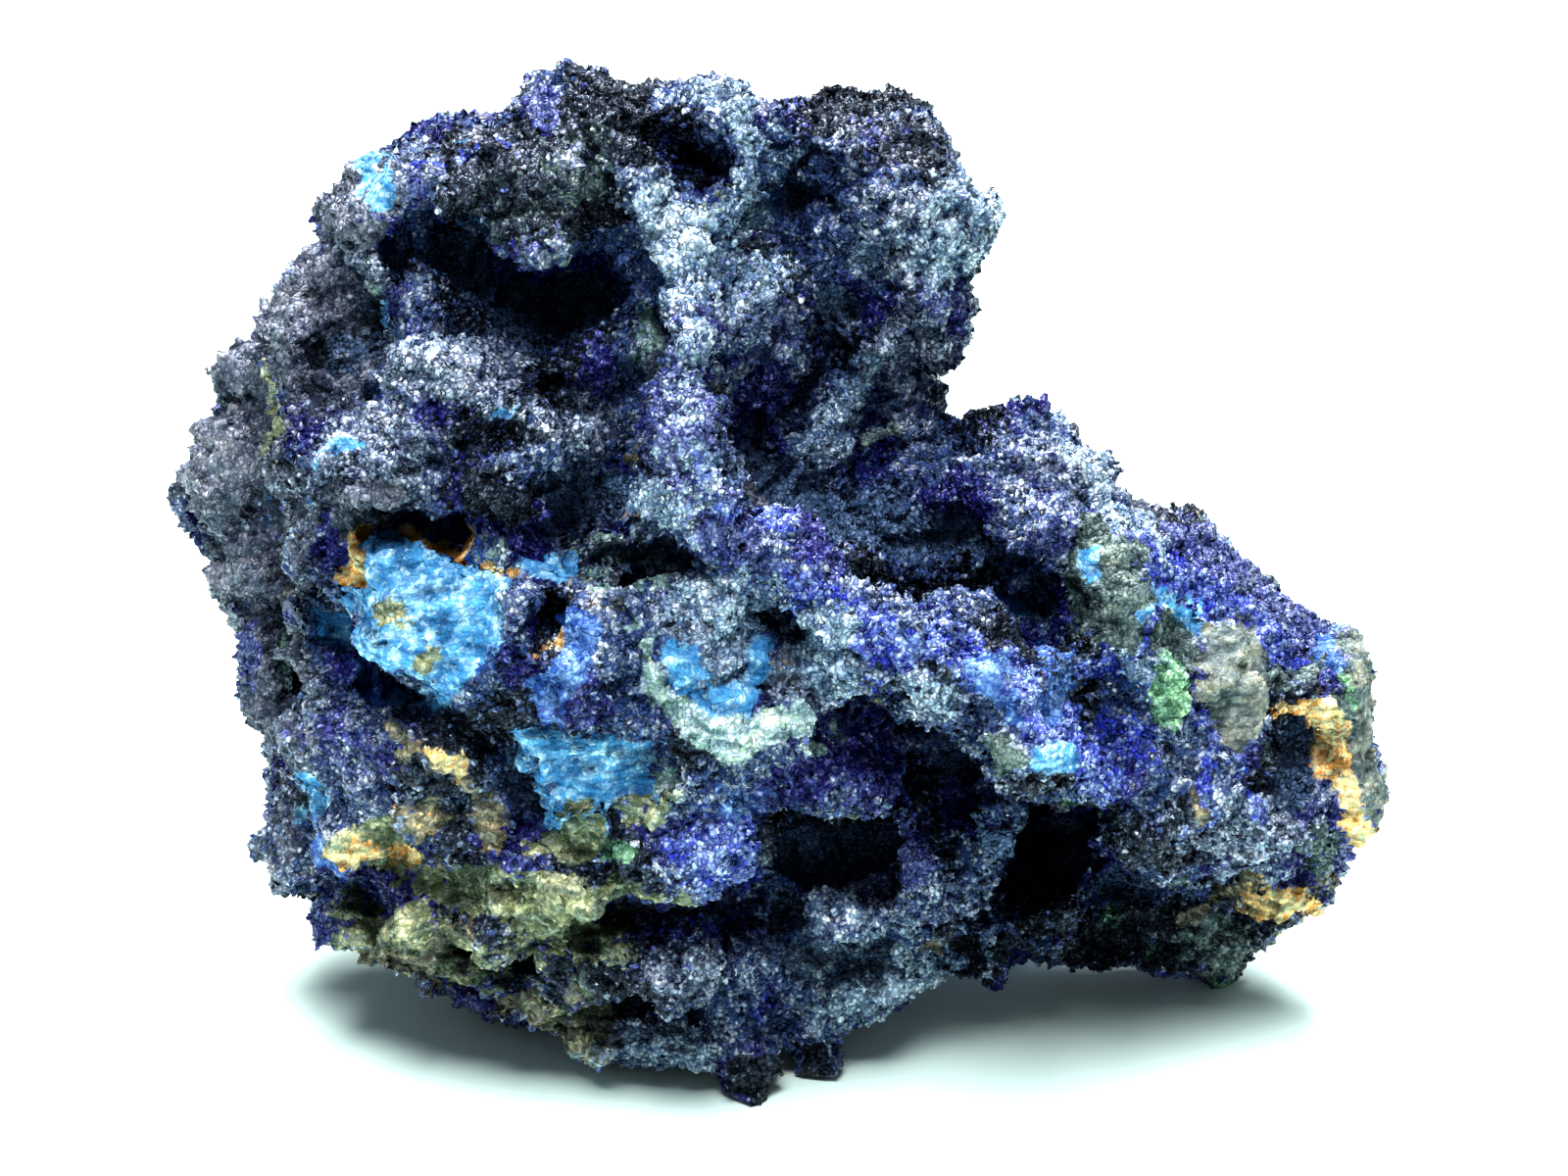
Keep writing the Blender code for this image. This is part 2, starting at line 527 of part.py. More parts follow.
def add_shard(mesh, corners, spread, near, far):
    """A block between two copies of its front, moved back by near and by far."""
    face = [Vector(corner) for corner in corners]
    middle = sum(face, Vector()) / len(face)
    made = []
    for corner in face:
        across, up, back = middle + (corner - middle) * spread
        made.append(mesh.verts.new(sighted(across, up, back + near)))
        made.append(mesh.verts.new(sighted(across, up, back + far)))
    hull = bmesh.ops.convex_hull(mesh, input=made)
    inner = set(hull["geom_interior"] + hull["geom_unused"])
    bmesh.ops.delete(mesh, geom=[vertex for vertex in made if vertex in inner], context="VERTS")


def add_rib(mesh, points):
    """A rib of overlapping balls along its points, close enough to read as one."""
    stations = [(sighted(*row[:3]), row[3]) for row in points]
    for (start, thick), (end, thin) in zip(stations, stations[1:]):
        apart = RIB_STEP * min(thick, thin)
        steps = max(LEAST_RIB_STEPS, math.ceil((end - start).length / apart))
        for step in range(steps + 1):
            share = step / steps
            radius = thick + (thin - thick) * share
            add_ball(mesh, start.lerp(end, share), (radius,) * 3, Euler((0.0, 0.0, 0.0)))


def object_from(mesh, name, collection):
    """Turns a bmesh in millimetres into an object in metres and frees the bmesh."""
    bmesh.ops.scale(mesh, vec=(MM,) * 3, verts=mesh.verts)
    data = bpy.data.meshes.new(name)
    mesh.to_mesh(data)
    mesh.free()
    made = bpy.data.objects.new(name, data)
    collection.objects.link(made)
    return made


def apply_modifiers(item):
    """Puts the object's evaluated mesh in place of its own and removes its modifiers."""
    bpy.context.view_layer.update()
    graph = bpy.context.evaluated_depsgraph_get()
    data = bpy.data.meshes.new_from_object(item.evaluated_get(graph))
    old = item.data
    item.modifiers.clear()
    item.data = data
    bpy.data.meshes.remove(old)


def fuse(item, voxel, smoothing):
    """Fuses what overlaps in the mesh into one skin and softens the seams."""
    remesh = item.modifiers.new("fuse", "REMESH")
    remesh.mode = "VOXEL"
    remesh.voxel_size = voxel * MM
    if smoothing:
        smooth = item.modifiers.new("soften", "SMOOTH")
        smooth.factor = 0.5
        smooth.iterations = smoothing
    apply_modifiers(item)


def cut(item, cutter):
    boolean = item.modifiers.new("cut", "BOOLEAN")
    boolean.operation = "DIFFERENCE"
    boolean.solver = "EXACT"
    boolean.object = cutter
    apply_modifiers(item)


def build_mass(collection):
    mesh = bmesh.new()
    for rows in (BODY, OUTLINE, LEFT_LEDGES, LEFT_FOOTING, FRONT_BLOCK, RIGHT_MASS, ARM, UNDERSIDE):
        add_sighted_lumps(mesh, rows)
    for corners in (*SPLIT_BLOCKS, LEANING_SLAB):
        add_shard(mesh, corners, 1.0, 0.0, SHARD_DEPTH)
    add_plain_lumps(mesh, BACK)
    for points in RIBS:
        add_rib(mesh, points)
    mass = object_from(mesh, NAME, collection)
    fuse(mass, FUSE_VOXEL, FUSE_SMOOTHING)
    return mass


def build_hollows(collection):
    mesh = bmesh.new()
    add_sighted_lumps(mesh, HOLLOWS)
    add_plain_lumps(mesh, BACK_HOLLOWS)
    for points in HOLLOW_RIBS:
        add_rib(mesh, points)
    hollows = object_from(mesh, "hollows", collection)
    fuse(hollows, FUSE_VOXEL, 0)
    return hollows


def build_fractures(collection):
    mesh = bmesh.new()
    for corners in SPLIT_BLOCKS:
        add_shard(mesh, corners, FRACTURE_SPREAD, FRACTURE_DEPTH, FRACTURE_REACH)
    return object_from(mesh, "fractures", collection)


def push_skin(item, height_at):
    """Moves each point of the skin out along its normal by height_at(point), in millimetres."""
    outwards = [vertex.normal.copy() for vertex in item.data.vertices]
    for vertex, normal in zip(item.data.vertices, outwards):
        vertex.co += normal * (height_at(vertex.co / MM) * MM)


def wave_height(point):
    """Broad swells, taken in a little to leave room for the knobs."""
    return noise.noise(point / WAVE_SIZE) * WAVE_HEIGHT - SKIN_SINK


def crumb_height(point):
    """Fine crumbling."""
    return noise.fractal(point / CRUMB_SIZE, *CRUMB_ROUGHNESS) * CRUMB_HEIGHT


def grow_knobs(item):
    """Grows small round knobs at random all over the skin, as thick as the area there is."""
    chance = random.Random(KNOB_SEED)
    faces = item.data.polygons
    chosen = chance.choices(range(len(faces)), [face.area for face in faces], k=KNOB_COUNT)
    mesh = bmesh.new()
    for index in chosen:
        radius = chance.uniform(*KNOB_RADII) * chance.uniform(*KNOB_SHRINK)
        centre = faces[index].center / MM - faces[index].normal * (radius * KNOB_SINK)
        halves = [radius * chance.uniform(*KNOB_FLATTENING) for _ in range(3)]
        add_ball(mesh, centre, halves, Euler((0.0, 0.0, chance.uniform(0.0, math.pi))))
    bmesh.ops.scale(mesh, vec=(MM,) * 3, verts=mesh.verts)
    mesh.from_mesh(item.data)
    mesh.to_mesh(item.data)
    mesh.free()
    fuse(item, SKIN_VOXEL, 0)


def thin_out(item, triangles):
    """Brings the mesh down to this number of triangles."""
    item.data.calc_loop_triangles()
    decimate = item.modifiers.new("thin out", "DECIMATE")
    decimate.ratio = triangles / len(item.data.loop_triangles)
    apply_modifiers(item)


def drop_crumbs(item):
    """Removes the small pieces that the cuts have left loose, and keeps the stone itself."""
    mesh = bmesh.new()
    mesh.from_mesh(item.data)
    waiting = set(mesh.verts)
    bodies = []
    while waiting:
        body = set()
        edge = {waiting.pop()}
        while edge:
            body |= edge
            edge = {e.other_vert(v) for v in edge for e in v.link_edges} - body
        waiting -= body
        bodies.append(body)
    stone = max(bodies, key=len)
    loose = [vertex for body in bodies if body is not stone for vertex in body]
    bmesh.ops.delete(mesh, geom=loose, context="VERTS")
    mesh.to_mesh(item.data)
    mesh.free()


def build_floor(collection):
    """A block below the floor, which trims the feet flat."""
    mesh = bmesh.new()
    size = Matrix.Diagonal((FLOOR_WIDTH, FLOOR_WIDTH, FLOOR_DEPTH, 1.0))
    place = Matrix.Translation((0.0, 0.0, -FLOOR_DEPTH / 2))
    bmesh.ops.create_cube(mesh, size=1.0, matrix=place @ size)
    return object_from(mesh, "floor_trim", collection)


def azurite_material():
    material = bpy.data.materials.new("azurite")
    material.use_nodes = True
    shader = material.node_tree.nodes["Principled BSDF"]
    shader.inputs["Base Color"].default_value = STONE_COLOUR
    shader.inputs["Roughness"].default_value = STONE_ROUGHNESS
    return material


def main():
    clear_scene()
    make_ball()
    stone_parts = new_collection("azurite specimen")
    cutters = new_collection("cutters")
    stone = build_mass(stone_parts)
    tools = (build_hollows(cutters), build_fractures(cutters), build_floor(cutters))
    for tool in tools:
        tool.hide_render = True
        tool.display_type = "WIRE"
    hollows, fractures, floor = tools
    push_skin(stone, wave_height)
    grow_knobs(stone)
    thin_out(stone, MASS_TRIANGLES)
    thin_out(hollows, HOLLOW_TRIANGLES)
    cut(stone, hollows)
    fuse(stone, SKIN_VOXEL, CUT_SMOOTHING)
    push_skin(stone, crumb_height)
    thin_out(stone, CUT_TRIANGLES)
    cut(stone, fractures)
    thin_out(stone, SKIN_TRIANGLES)
    cut(stone, floor)
    drop_crumbs(stone)
    stone.data.transform(Matrix.Translation(TO_MIDDLE * MM))
    stone.data.materials.clear()
    stone.data.materials.append(azurite_material())
    stone.data.shade_smooth()
    stone.data.set_sharp_from_angle(angle=SHARP_ANGLE)


main()
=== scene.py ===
"""Azurite specimen: its rough skin, its crust of small crystals, and the studio round it.

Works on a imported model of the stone. The rock operator gives the stone a finer skin and says which
mineral is where on it. The crystal operators grow a crust on that skin, and the studio operator
sets up the floor, the light and the camera. Lengths in the tables are in millimetres.
"""

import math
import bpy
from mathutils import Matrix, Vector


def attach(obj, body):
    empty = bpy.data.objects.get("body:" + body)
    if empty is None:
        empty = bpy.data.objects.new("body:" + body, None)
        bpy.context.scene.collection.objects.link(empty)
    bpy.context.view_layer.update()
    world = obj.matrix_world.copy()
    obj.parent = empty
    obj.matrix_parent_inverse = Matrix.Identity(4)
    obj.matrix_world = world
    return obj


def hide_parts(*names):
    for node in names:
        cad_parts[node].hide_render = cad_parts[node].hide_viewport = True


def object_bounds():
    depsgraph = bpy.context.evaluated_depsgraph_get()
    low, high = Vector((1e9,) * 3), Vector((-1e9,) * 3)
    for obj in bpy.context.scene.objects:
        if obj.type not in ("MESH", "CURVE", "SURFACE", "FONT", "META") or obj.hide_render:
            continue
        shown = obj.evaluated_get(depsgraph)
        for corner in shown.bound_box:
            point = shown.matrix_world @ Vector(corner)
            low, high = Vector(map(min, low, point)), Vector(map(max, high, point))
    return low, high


bl_info = {
    "name": "Azurite Specimen",
    "version": (1, 0, 0),
    "blender": (4, 5, 0),
    "location": "View3D > Sidebar > Azurite",
    "description": "Dresses an azurite specimen with a mineral skin and a crust of small crystals",
    "category": "Add Mesh",
}

import bpy
import numpy as np
from mathutils import Matrix, Vector, noise
from mathutils.bvhtree import BVHTree

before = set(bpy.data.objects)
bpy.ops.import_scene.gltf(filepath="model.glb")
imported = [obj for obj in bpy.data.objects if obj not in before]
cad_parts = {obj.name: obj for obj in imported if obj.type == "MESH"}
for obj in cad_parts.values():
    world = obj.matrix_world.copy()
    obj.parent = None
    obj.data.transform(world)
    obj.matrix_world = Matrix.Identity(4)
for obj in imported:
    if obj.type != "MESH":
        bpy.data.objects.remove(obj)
CAD_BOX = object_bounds()

NODE = "azurite_specimen"
BODY = "root"
MM = 0.001
TINY = 1e-9

# The stone is looked at from a sighting point in front of it and above it. A mark on its front is
# placed by how far across and how far up it appears on an upright board through the front foot.
SIGHT_TILT = math.radians(22.0)
SIGHT_DISTANCE = 300.0
SIGHT_MIDDLE = (-0.3, 31.2)
FRONT_FOOT_BACK = -8.0
TO_MIDDLE = np.array([1.04, -4.14, 0.0])
RIGHT = np.array([1.0, 0.0, 0.0])
RISE = np.array([0.0, math.sin(SIGHT_TILT), math.cos(SIGHT_TILT)])
TOWARDS = np.array([0.0, -math.cos(SIGHT_TILT), math.sin(SIGHT_TILT)])
FOOT = np.array([0.0, FRONT_FOOT_BACK, 0.0])
BOARD_MIDDLE = FOOT + RIGHT * SIGHT_MIDDLE[0] + RISE * SIGHT_MIDDLE[1]
EYE = BOARD_MIDDLE + TOWARDS * SIGHT_DISTANCE

# The minerals, from the one that lies lowest to the one that lies on top: how much painted glint
# their grains get, the size of their grains, how chalky they are (0 for glassy), how thickly
# crystals grow on them, what they are called, and the colours of their body and of their glints,
# the glints being painted into the base colour.
MINERALS = {
    "navy": (0.2, 1.0, 0.0, 1.0, "dark blue azurite", (57, 76, 124), (255, 255, 255)),
    "indigo": (0.16, 1.0, 0.0, 1.0, "indigo azurite", (26, 22, 92), (122, 122, 212)),
    "slate": (0.25, 0.9, 0.1, 1.0, "slate-blue crust", (4, 7, 14), (52, 65, 80)),
    "druse": (0.36, 0.85, 0.0, 1.0, "sparkling crust", (42, 54, 84), (231, 234, 245)),
    "wall": (0.36, 0.75, 0.5, 0.9, "weathered crust", (55, 58, 71), (162, 160, 167)),
    "greygreen": (0.42, 0.8, 0.5, 0.9, "grey-green crust", (40, 58, 54), (137, 150, 135)),
    "earth": (0.36, 0.7, 0.9, 0.7, "brown earth", (72, 65, 47), (173, 159, 128)),
    "violet": (0.34, 1.0, 0.0, 1.0, "violet azurite", (49, 53, 122), (141, 145, 188)),
    "royal": (0.3, 0.95, 0.0, 1.0, "royal blue azurite", (45, 55, 180), (199, 217, 248)),
    "azure": (0.4, 0.7, 0.6, 0.35, "azure grains", (33, 71, 147), (145, 185, 235)),
    "frost": (0.45, 0.8, 0.1, 1.0, "frosted crust", (70, 100, 141), (244, 255, 255)),
    "sky": (0.32, 0.65, 0.85, 0.12, "sky-blue split faces", (63, 134, 183), (209, 245, 247)),
    "cream": (0.45, 0.6, 0.6, 0.8, "cream rim", (141, 172, 147), (255, 255, 255)),
    "olive": (0.38, 0.7, 0.8, 0.8, "olive crust", (87, 92, 55), (202, 200, 158)),
    "malachite": (0.38, 0.65, 0.6, 0.9, "green malachite", (37, 79, 47), (172, 225, 169)),
    "clay": (0.5, 0.6, 0.9, 0.2, "pale clay", (94, 95, 81), (147, 152, 139)),
    "ochre": (0.45, 0.7, 0.9, 0.7, "ochre", (219, 134, 50), (255, 242, 172)),
    "hollow": (0.06, 0.95, 0.0, 0.9, "inside of the hollows", (98, 118, 148), (255, 255, 255)),
}
GLINT, GRAIN, CHALK, THICKNESS = range(4)
LAYERS = tuple(name for name in MINERALS if name != "navy")

# Patches: across, up, half the width, half the height, the strength, and the roll in degrees of
# those that are turned.
PATCHES = {
    "slate": (
        (2.1, 60.6, 2.6, 2.2, 0.9), (2.4, 36.6, 2.4, 2, 0.8), (11.7, 41.2, 2.4, 2, 0.6),
        (-2.2, 1.2, 1.8, 1.6, 1), (1.5, 2.2, 1.4, 1.4, 0.9), (7, 58.8, 4.4, 2.2, 0.6),
        (-17.7, 36.6, 2.4, 2, 0.95), (-12.6, 55.2, 2.6, 2.4, 0.9), (3.6, 61, 4.4, 2.4, 0.6),
        (-17, 58.4, 4, 2.2, 0.7), (-11, 63, 3, 1.6, 0.6), (3, 61.6, 5, 2, 0.9),
        (-10.8, 60, 2.6, 2.9, 1), (-17.4, 55.4, 4.4, 3, 0.8), (24.4, 35.4, 2.6, 1.6, 0.9, -20),
        (24, 9.6, 6, 2.6, 0.8), (16.2, 10.8, 3, 2.4, 0.7),
    ),
    "wall": (
        (-26.7, 36.4, 2.6, 2, 0.8), (6, 58.6, 4.8, 2.4, 0.35), (-30.5, 47.5, 4.5, 6.5, 0.9, 35),
        (-33.6, 38, 3.2, 9.5, 0.95, 5), (-31.8, 29, 2.6, 8, 0.9, -5),
        (-30.6, 19.5, 1.8, 7, 0.6, -8), (-26.5, 54.5, 4, 2.6, 0.7, 40),
        (-20, 58.2, 5, 1.6, 0.45, 12), (34.6, 27.4, 1.6, 1.6, 0.5),
    ),
    "greygreen": (
        (32.7, 15, 1.8, 1.8, 0.7), (-13.6, 3.4, 3.6, 2.2, 0.7), (-13.2, 6, 2, 1.4, 0.5),
        (-13.2, 20.4, 2.2, 1.6, 0.9), (-22.6, 27.6, 1.4, 1.2, 0.8), (19.6, 31.8, 2.8, 4.2, 0.9),
        (22.2, 28.6, 2.4, 2.2, 0.85), (24.6, 28.8, 1.6, 2.6, 0.85), (31.4, 27.4, 2.6, 1.6, 0.7),
        (35, 23, 2.2, 4, 0.7), (-15.6, 54, 4, 3.2, 0.4), (31.2, 27, 1.8, 1.6, 0.6),
        (13, 21.1, 1.4, 1.4, 0.9), (34.5, 26.6, 1.4, 2, 0.7), (26.4, 9.4, 3, 1.8, 0.6),
        (-12.5, 57.5, 2.4, 2.4, 0.5), (18, 34.6, 2, 1.4, 0.4), (-16, 8, 4.4, 2.2, 0.3),
        (-24.4, 29.4, 2.2, 1.8, 1), (-12.4, 18.8, 2.8, 1.8, 1),
    ),
    "earth": (
        (-22.3, 17.4, 1.9, 1.6, 0.85), (-18.4, 16.9, 1.2, 1.8, 0.85), (-22.5, 8.6, 4.6, 2.6, 0.75),
        (-14.5, 4.2, 4.6, 2.6, 0.75), (-24, 14.4, 4, 1.2, 0.5), (-12, 31.5, 3, 3, 0.4),
        (0.6, 26.4, 1.3, 2, 0.5), (33.3, 12.9, 1.2, 0.7, 0.6), (24.7, 18.1, 0.5, 0.9, 0.8, 10),
    ),
    "violet": (
        (-26.9, 21.4, 1.8, 1.8, 0.5), (0.3, 47.4, 2.2, 3, 0.5), (-6.9, 58.2, 1.6, 2, 0.35),
        (14.7, 33, 2, 1.4, 0.7), (-3.3, 7.8, 1.6, 1.4, 0.4), (-6.4, 43, 2.2, 3.6, 0.6),
        (-4.6, 36, 3.4, 2.4, 0.6, -30), (1.6, 33.4, 2.6, 1.2, 0.3, -20),
        (-7.6, 41, 1.6, 3.4, 0.7, 10), (-8, 37.6, 1.4, 1.6, 0.6), (-0.3, 60, 2, 1.6, 0.6),
        (3.3, 58.6, 2.4, 1.4, 0.3), (9.9, 48.8, 1.3, 0.7, 1), (15, 38.4, 2.2, 1.8, 0.4),
        (15.9, 34.4, 2, 1.4, 0.6), (13.2, 41.1, 1, 1, 0.5), (-33, 26.8, 0.9, 2.6, 0.6),
        (-14.9, 60.6, 1.4, 1.6, 0.8), (4.6, 18.6, 1, 1.4, 0.5), (7.6, 15.2, 1.2, 2.2, 0.7),
        (-9.2, 10.6, 1.4, 0.7, 0.6), (-22.5, 55.8, 0.7, 1.5, 1), (31.1, 18.6, 1.3, 1.6, 0.6),
        (34.4, 13.9, 0.6, 1, 0.8), (6, 43, 2.4, 3, 0.3), (22.6, 33.6, 2.6, 1.2, 0.5, -20),
    ),
    "royal": (
        (0.3, 29.4, 1.6, 1.4, 0.5), (3.9, 25.8, 2, 1.6, 0.4), (-5.6, 39, 0.9, 1.2, 0.9),
        (-4, 35.2, 1.4, 0.7, 0.9, -35), (1, 32.2, 2, 0.7, 0.6, -25),
        (-0.9, 36, 1.6, 0.9, 0.7, -35), (1.5, 30.2, 1.4, 0.8, 0.9, -30), (-2.3, 15, 0.9, 1.8, 1),
        (-4.2, 15.1, 3, 2.8, 0.85), (-1.5, 5.2, 1.2, 1, 0.5), (19.2, 26.4, 1.8, 0.8, 1),
        (21, 21.9, 2.4, 1.6, 0.6), (24, 16.4, 1, 0.8, 0.5), (-20, 39, 5, 3, 0.15),
    ),
    "azure": (
        (21.9, 25.4, 1.8, 1.6, 0.5), (16.5, 26.6, 2, 1.4, 0.6), (4, 7.8, 2, 2, 0.5),
        (-3.3, 18.6, 1.6, 1.6, 0.5), (-24.9, 26.2, 1.8, 1.4, 0.8), (24, 30.4, 2.4, 0.9, 0.7, -40),
        (21, 26.2, 1.4, 1.2, 0.8), (-26.6, 27.6, 1.2, 1.4, 0.7), (-27.4, 31.2, 1.2, 1.2, 0.8),
        (16.8, 24.9, 1.3, 1.2, 1), (-19.2, 27.6, 1, 2.6, 0.8, -20), (-9.8, 20.4, 0.8, 1.6, 0.6),
        (-13.6, 33, 1.6, 1, 0.5), (-2.6, 17.6, 1.6, 1, 0.6), (-21, 32.6, 4, 1.6, 0.9),
        (-19.6, 28, 2, 1.8, 0.5), (-14.6, 21, 2.4, 2.2, 0.9),
    ),
    "frost": (
        (-31.5, 36, 1.6, 2.6, 0.4), (6.9, 45.6, 2, 2, 0.4), (-7.5, 35.8, 2.2, 2, 0.6),
        (-7.5, 2.8, 3, 2, 0.9), (2.1, 26.6, 2.4, 2.2, 0.7), (3.6, 8, 2.6, 2.2, 0.9),
        (7, 43.8, 1.6, 2, 0.4), (-2.8, 50.2, 2.4, 2.4, 0.6), (7, 8, 3.4, 2.4, 0.9),
        (21.3, 26.6, 2, 1.4, 0.6), (5.6, 51, 1.6, 2, 0.5, -30), (7.4, 52, 2, 1, 0.6, -40),
        (6, 6.6, 3, 1.6, 1, 30), (-21, 25, 2.2, 1, 0.7, -40), (1.2, 27, 2.6, 2.4, 0.3),
        (-9.2, 36.2, 1.6, 2.2, 0.7), (-6.4, 53, 2.4, 1.8, 0.8), (-6.4, 48.6, 1.6, 3, 0.6),
        # The first two patches below are painted light on a front wall the overhead lamp hardly
        # reaches.
        (-9.5, 32.8, 4.5, 2.2, 0.6), (-3.5, 30.2, 4.4, 2.6, 0.6), (2.1, 28.2, 2.6, 2.2, 0.75),
        (-3.6, 27, 3.4, 2.4, 0.6), (6.6, 7, 3.2, 2.6, 0.9), (-6, 38, 2.4, 3, 0.5),
        (-12, 24.6, 1.6, 1.6, 0.4), (-5.8, 62, 2.6, 0.9, 1), (10.4, 53.4, 2.6, 4.6, 0.65),
        (6.3, 40.8, 3, 2, 0.35), (-21.5, 45.8, 2.6, 1, 0.4, 2), (-26, 40.2, 2.6, 1, 0.35, 10),
        (-6, 44.5, 1.6, 4.2, 0.5), (8.4, 25, 2.6, 0.9, 0.5), (4.6, 7.2, 4.2, 3, 0.85, 35),
        (12.3, 8.1, 0.8, 1.6, 0.9), (3.2, 12, 1.8, 1.6, 0.6), (1.8, 26.4, 1.8, 2.6, 0.5),
        (34.5, 29.4, 1.2, 0.9, 0.7),
    ),
    "druse": (
        # The second patch below, on the underside, is painted light in place of light from the
        # floor.
        (-12.3, 40.8, 2.4, 1.8, 0.9), (-10.5, 4.2, 2.2, 1.8, 0.8), (-26.5, 50.6, 2.2, 2.6, 0.8),
        (8, 50.6, 3, 3, 0.5), (-22.6, 49.6, 2, 1.2, 0.4, 20), (6.9, 45.6, 3.4, 3, 0.7),
        (-29, 24, 2, 2.4, 0.5), (-20.3, 45.1, 5.4, 2.4, 0.9, 2), (-25.2, 39, 4.8, 3.2, 0.75, 10),
        (-15.4, 41.6, 4, 1, 0.5, -25), (-4, 29.8, 4, 2.4, 0.8), (1.6, 25.6, 3.4, 2.2, 0.9),
        (-6.3, 7.6, 2.6, 2.4, 0.7), (-6.6, 3.4, 2.6, 1.8, 0.7), (8, 11.6, 3, 2.4, 0.3),
        (5.5, 26, 5, 2, 0.7, -30), (28, 16.4, 5, 2.4, 0.7), (3, 47, 1.4, 2.6, 0.6),
        (6, 54, 3, 3.4, 0.4), (17, 38, 3.6, 2, 0.5, -30), (12, 37.4, 3, 2, 0.3),
        (-25, 23, 3.4, 1.6, 0.5, -20),
    ),
    "sky": (
        (-24.8, 32.8, 2, 1.2, 0.9), (-27.4, 29, 1.3, 1.5, 0.9), (-14, 33.2, 1.2, 0.9, 1),
        (-25.3, 56.3, 1, 1.8, 1, 10), (-27.7, 39.7, 2.2, 0.5, 0.7, 15),
        (-17.4, 41.8, 1.2, 0.4, 0.7), (15.9, 20.7, 1.6, 1.2, 1), (18.4, 32.3, 0.8, 0.9, 1),
        (21.6, 29.9, 0.7, 0.4, 1), (34.5, 29.4, 0.8, 0.5, 0.6),
    ),
    "cream": (
        # The first patch below, on the shaded underside, is painted light: a pale colour there.
        (-12.3, 2.4, 2, 1.4, 0.5), (-17.7, 33.4, 1.6, 0.8, 0.5), (-11.6, 34.2, 2.4, 0.7, 0.5),
        (-9.2, 29.1, 0.7, 0.6, 1), (-7.9, 31.7, 0.9, 0.7, 1), (-11.4, 31.4, 1.2, 0.6, 0.8),
        (-7.4, 18.8, 1.2, 1.2, 0.6), (-11, 32.4, 2.2, 1.8, 0.5), (6.1, 40.7, 0.7, 0.5, 1),
        (-8.9, 46, 0.8, 2.4, 0.6),
    ),
    "olive": (
        (-24.4, 29.6, 1.5, 1, 0.7, -30), (-22.4, 26.8, 0.9, 0.7, 0.7), (-27, 12, 2, 1.4, 0.6),
        (-12.6, 17, 1.4, 0.9, 0.6), (-14.1, 15.6, 2.4, 1, 0.8), (-17, 12.6, 5, 1.7, 0.9, -10),
        (-13.8, 11.4, 4.6, 2.2, 0.95), (-25.4, 15.4, 3, 1.3, 0.9, -10),
        (-20.6, 13, 3.4, 1.3, 0.85, -10), (-24.6, 10.4, 3.6, 2, 0.65),
        (-18.4, 8.2, 4.6, 1.8, 0.55), (-12.2, 9.4, 3, 1.5, 0.7), (-8.6, 17.6, 1.8, 1.2, 0.7),
        (-13, 5, 4, 1.6, 0.45), (-4.7, 54.8, 0.5, 1.6, 0.5),
    ),
    "malachite": (
        (23.7, 24.9, 1.6, 2.4, 0.95, -10), (-10.2, 15.1, 1.9, 0.9, 0.9),
        (19.7, 10.6, 0.6, 0.8, 0.6), (22.4, 8.9, 0.8, 0.5, 0.6), (26.4, 6.9, 1.3, 0.6, 0.7),
    ),
    "clay": (
        (36, 21.6, 1.5, 4.6, 0.8), (27.6, 25.2, 2, 4.4, 0.95), (35.8, 25, 1.6, 4.4, 0.75, -4),
        (36.9, 19.2, 1.3, 3.6, 0.85), (34.8, 20.4, 1, 2, 0.6),
    ),
    "ochre": (
        (-23.8, 15, 1.6, 0.6, 0.7), (-10.2, 36.3, 0.8, 0.5, 0.6), (-12.4, 32.3, 0.6, 0.5, 1),
        (-14.7, 27.9, 0.7, 0.6, 0.7), (32, 23.1, 1.8, 1.2, 0.95, -20),
        (30.2, 12, 2.2, 1.3, 0.9, -15), (-26.3, 15.2, 1.6, 0.8, 0.8, -10),
        (-22.6, 17.6, 2.2, 1.4, 0.3), (-20.5, 20.5, 1.2, 0.5, 1),
    ),
    "hollow": (
        (-19.8, 51.4, 2, 2, 1), (-15, 49, 4.2, 1.9, 1, -4), (-23.9, 51.6, 1.9, 0.6, 1),
        (-26.4, 46.8, 1, 1.6, 0.6, -40), (-7.8, 47.1, 1, 1.1, 1), (-12.4, 37.2, 3.2, 1.8, 1, 6),
        (-14.9, 29.3, 1, 0.7, 1), (-29.5, 29.8, 0.9, 2, 1), (-20.4, 18.4, 0.8, 1.3, 1, -30),
        (-16.4, 19.2, 0.7, 2.4, 1, 15), (0.2, 56.4, 0.8, 2.4, 1), (2.9, 47.8, 1.1, 1.8, 1),
        (0.8, 43.4, 0.8, 3.4, 1, -35), (-1.8, 38.6, 2.4, 2.2, 1), (4.5, 36.2, 5.2, 2, 1, -14),
        (10.5, 33.4, 4.5, 1.4, 1, -12), (14.9, 30.2, 1.1, 1.9, 1), (2.8, 14.8, 3.4, 1.9, 1),
        (10, 20.3, 2.6, 0.9, 1), (15.4, 15.2, 2.6, 2.8, 1), (20.7, 12.8, 2, 1.4, 1),
        (-0.6, 10.4, 1.4, 2.2, 1), (31, 20.4, 1.2, 2.6, 0.9),
    ),
}

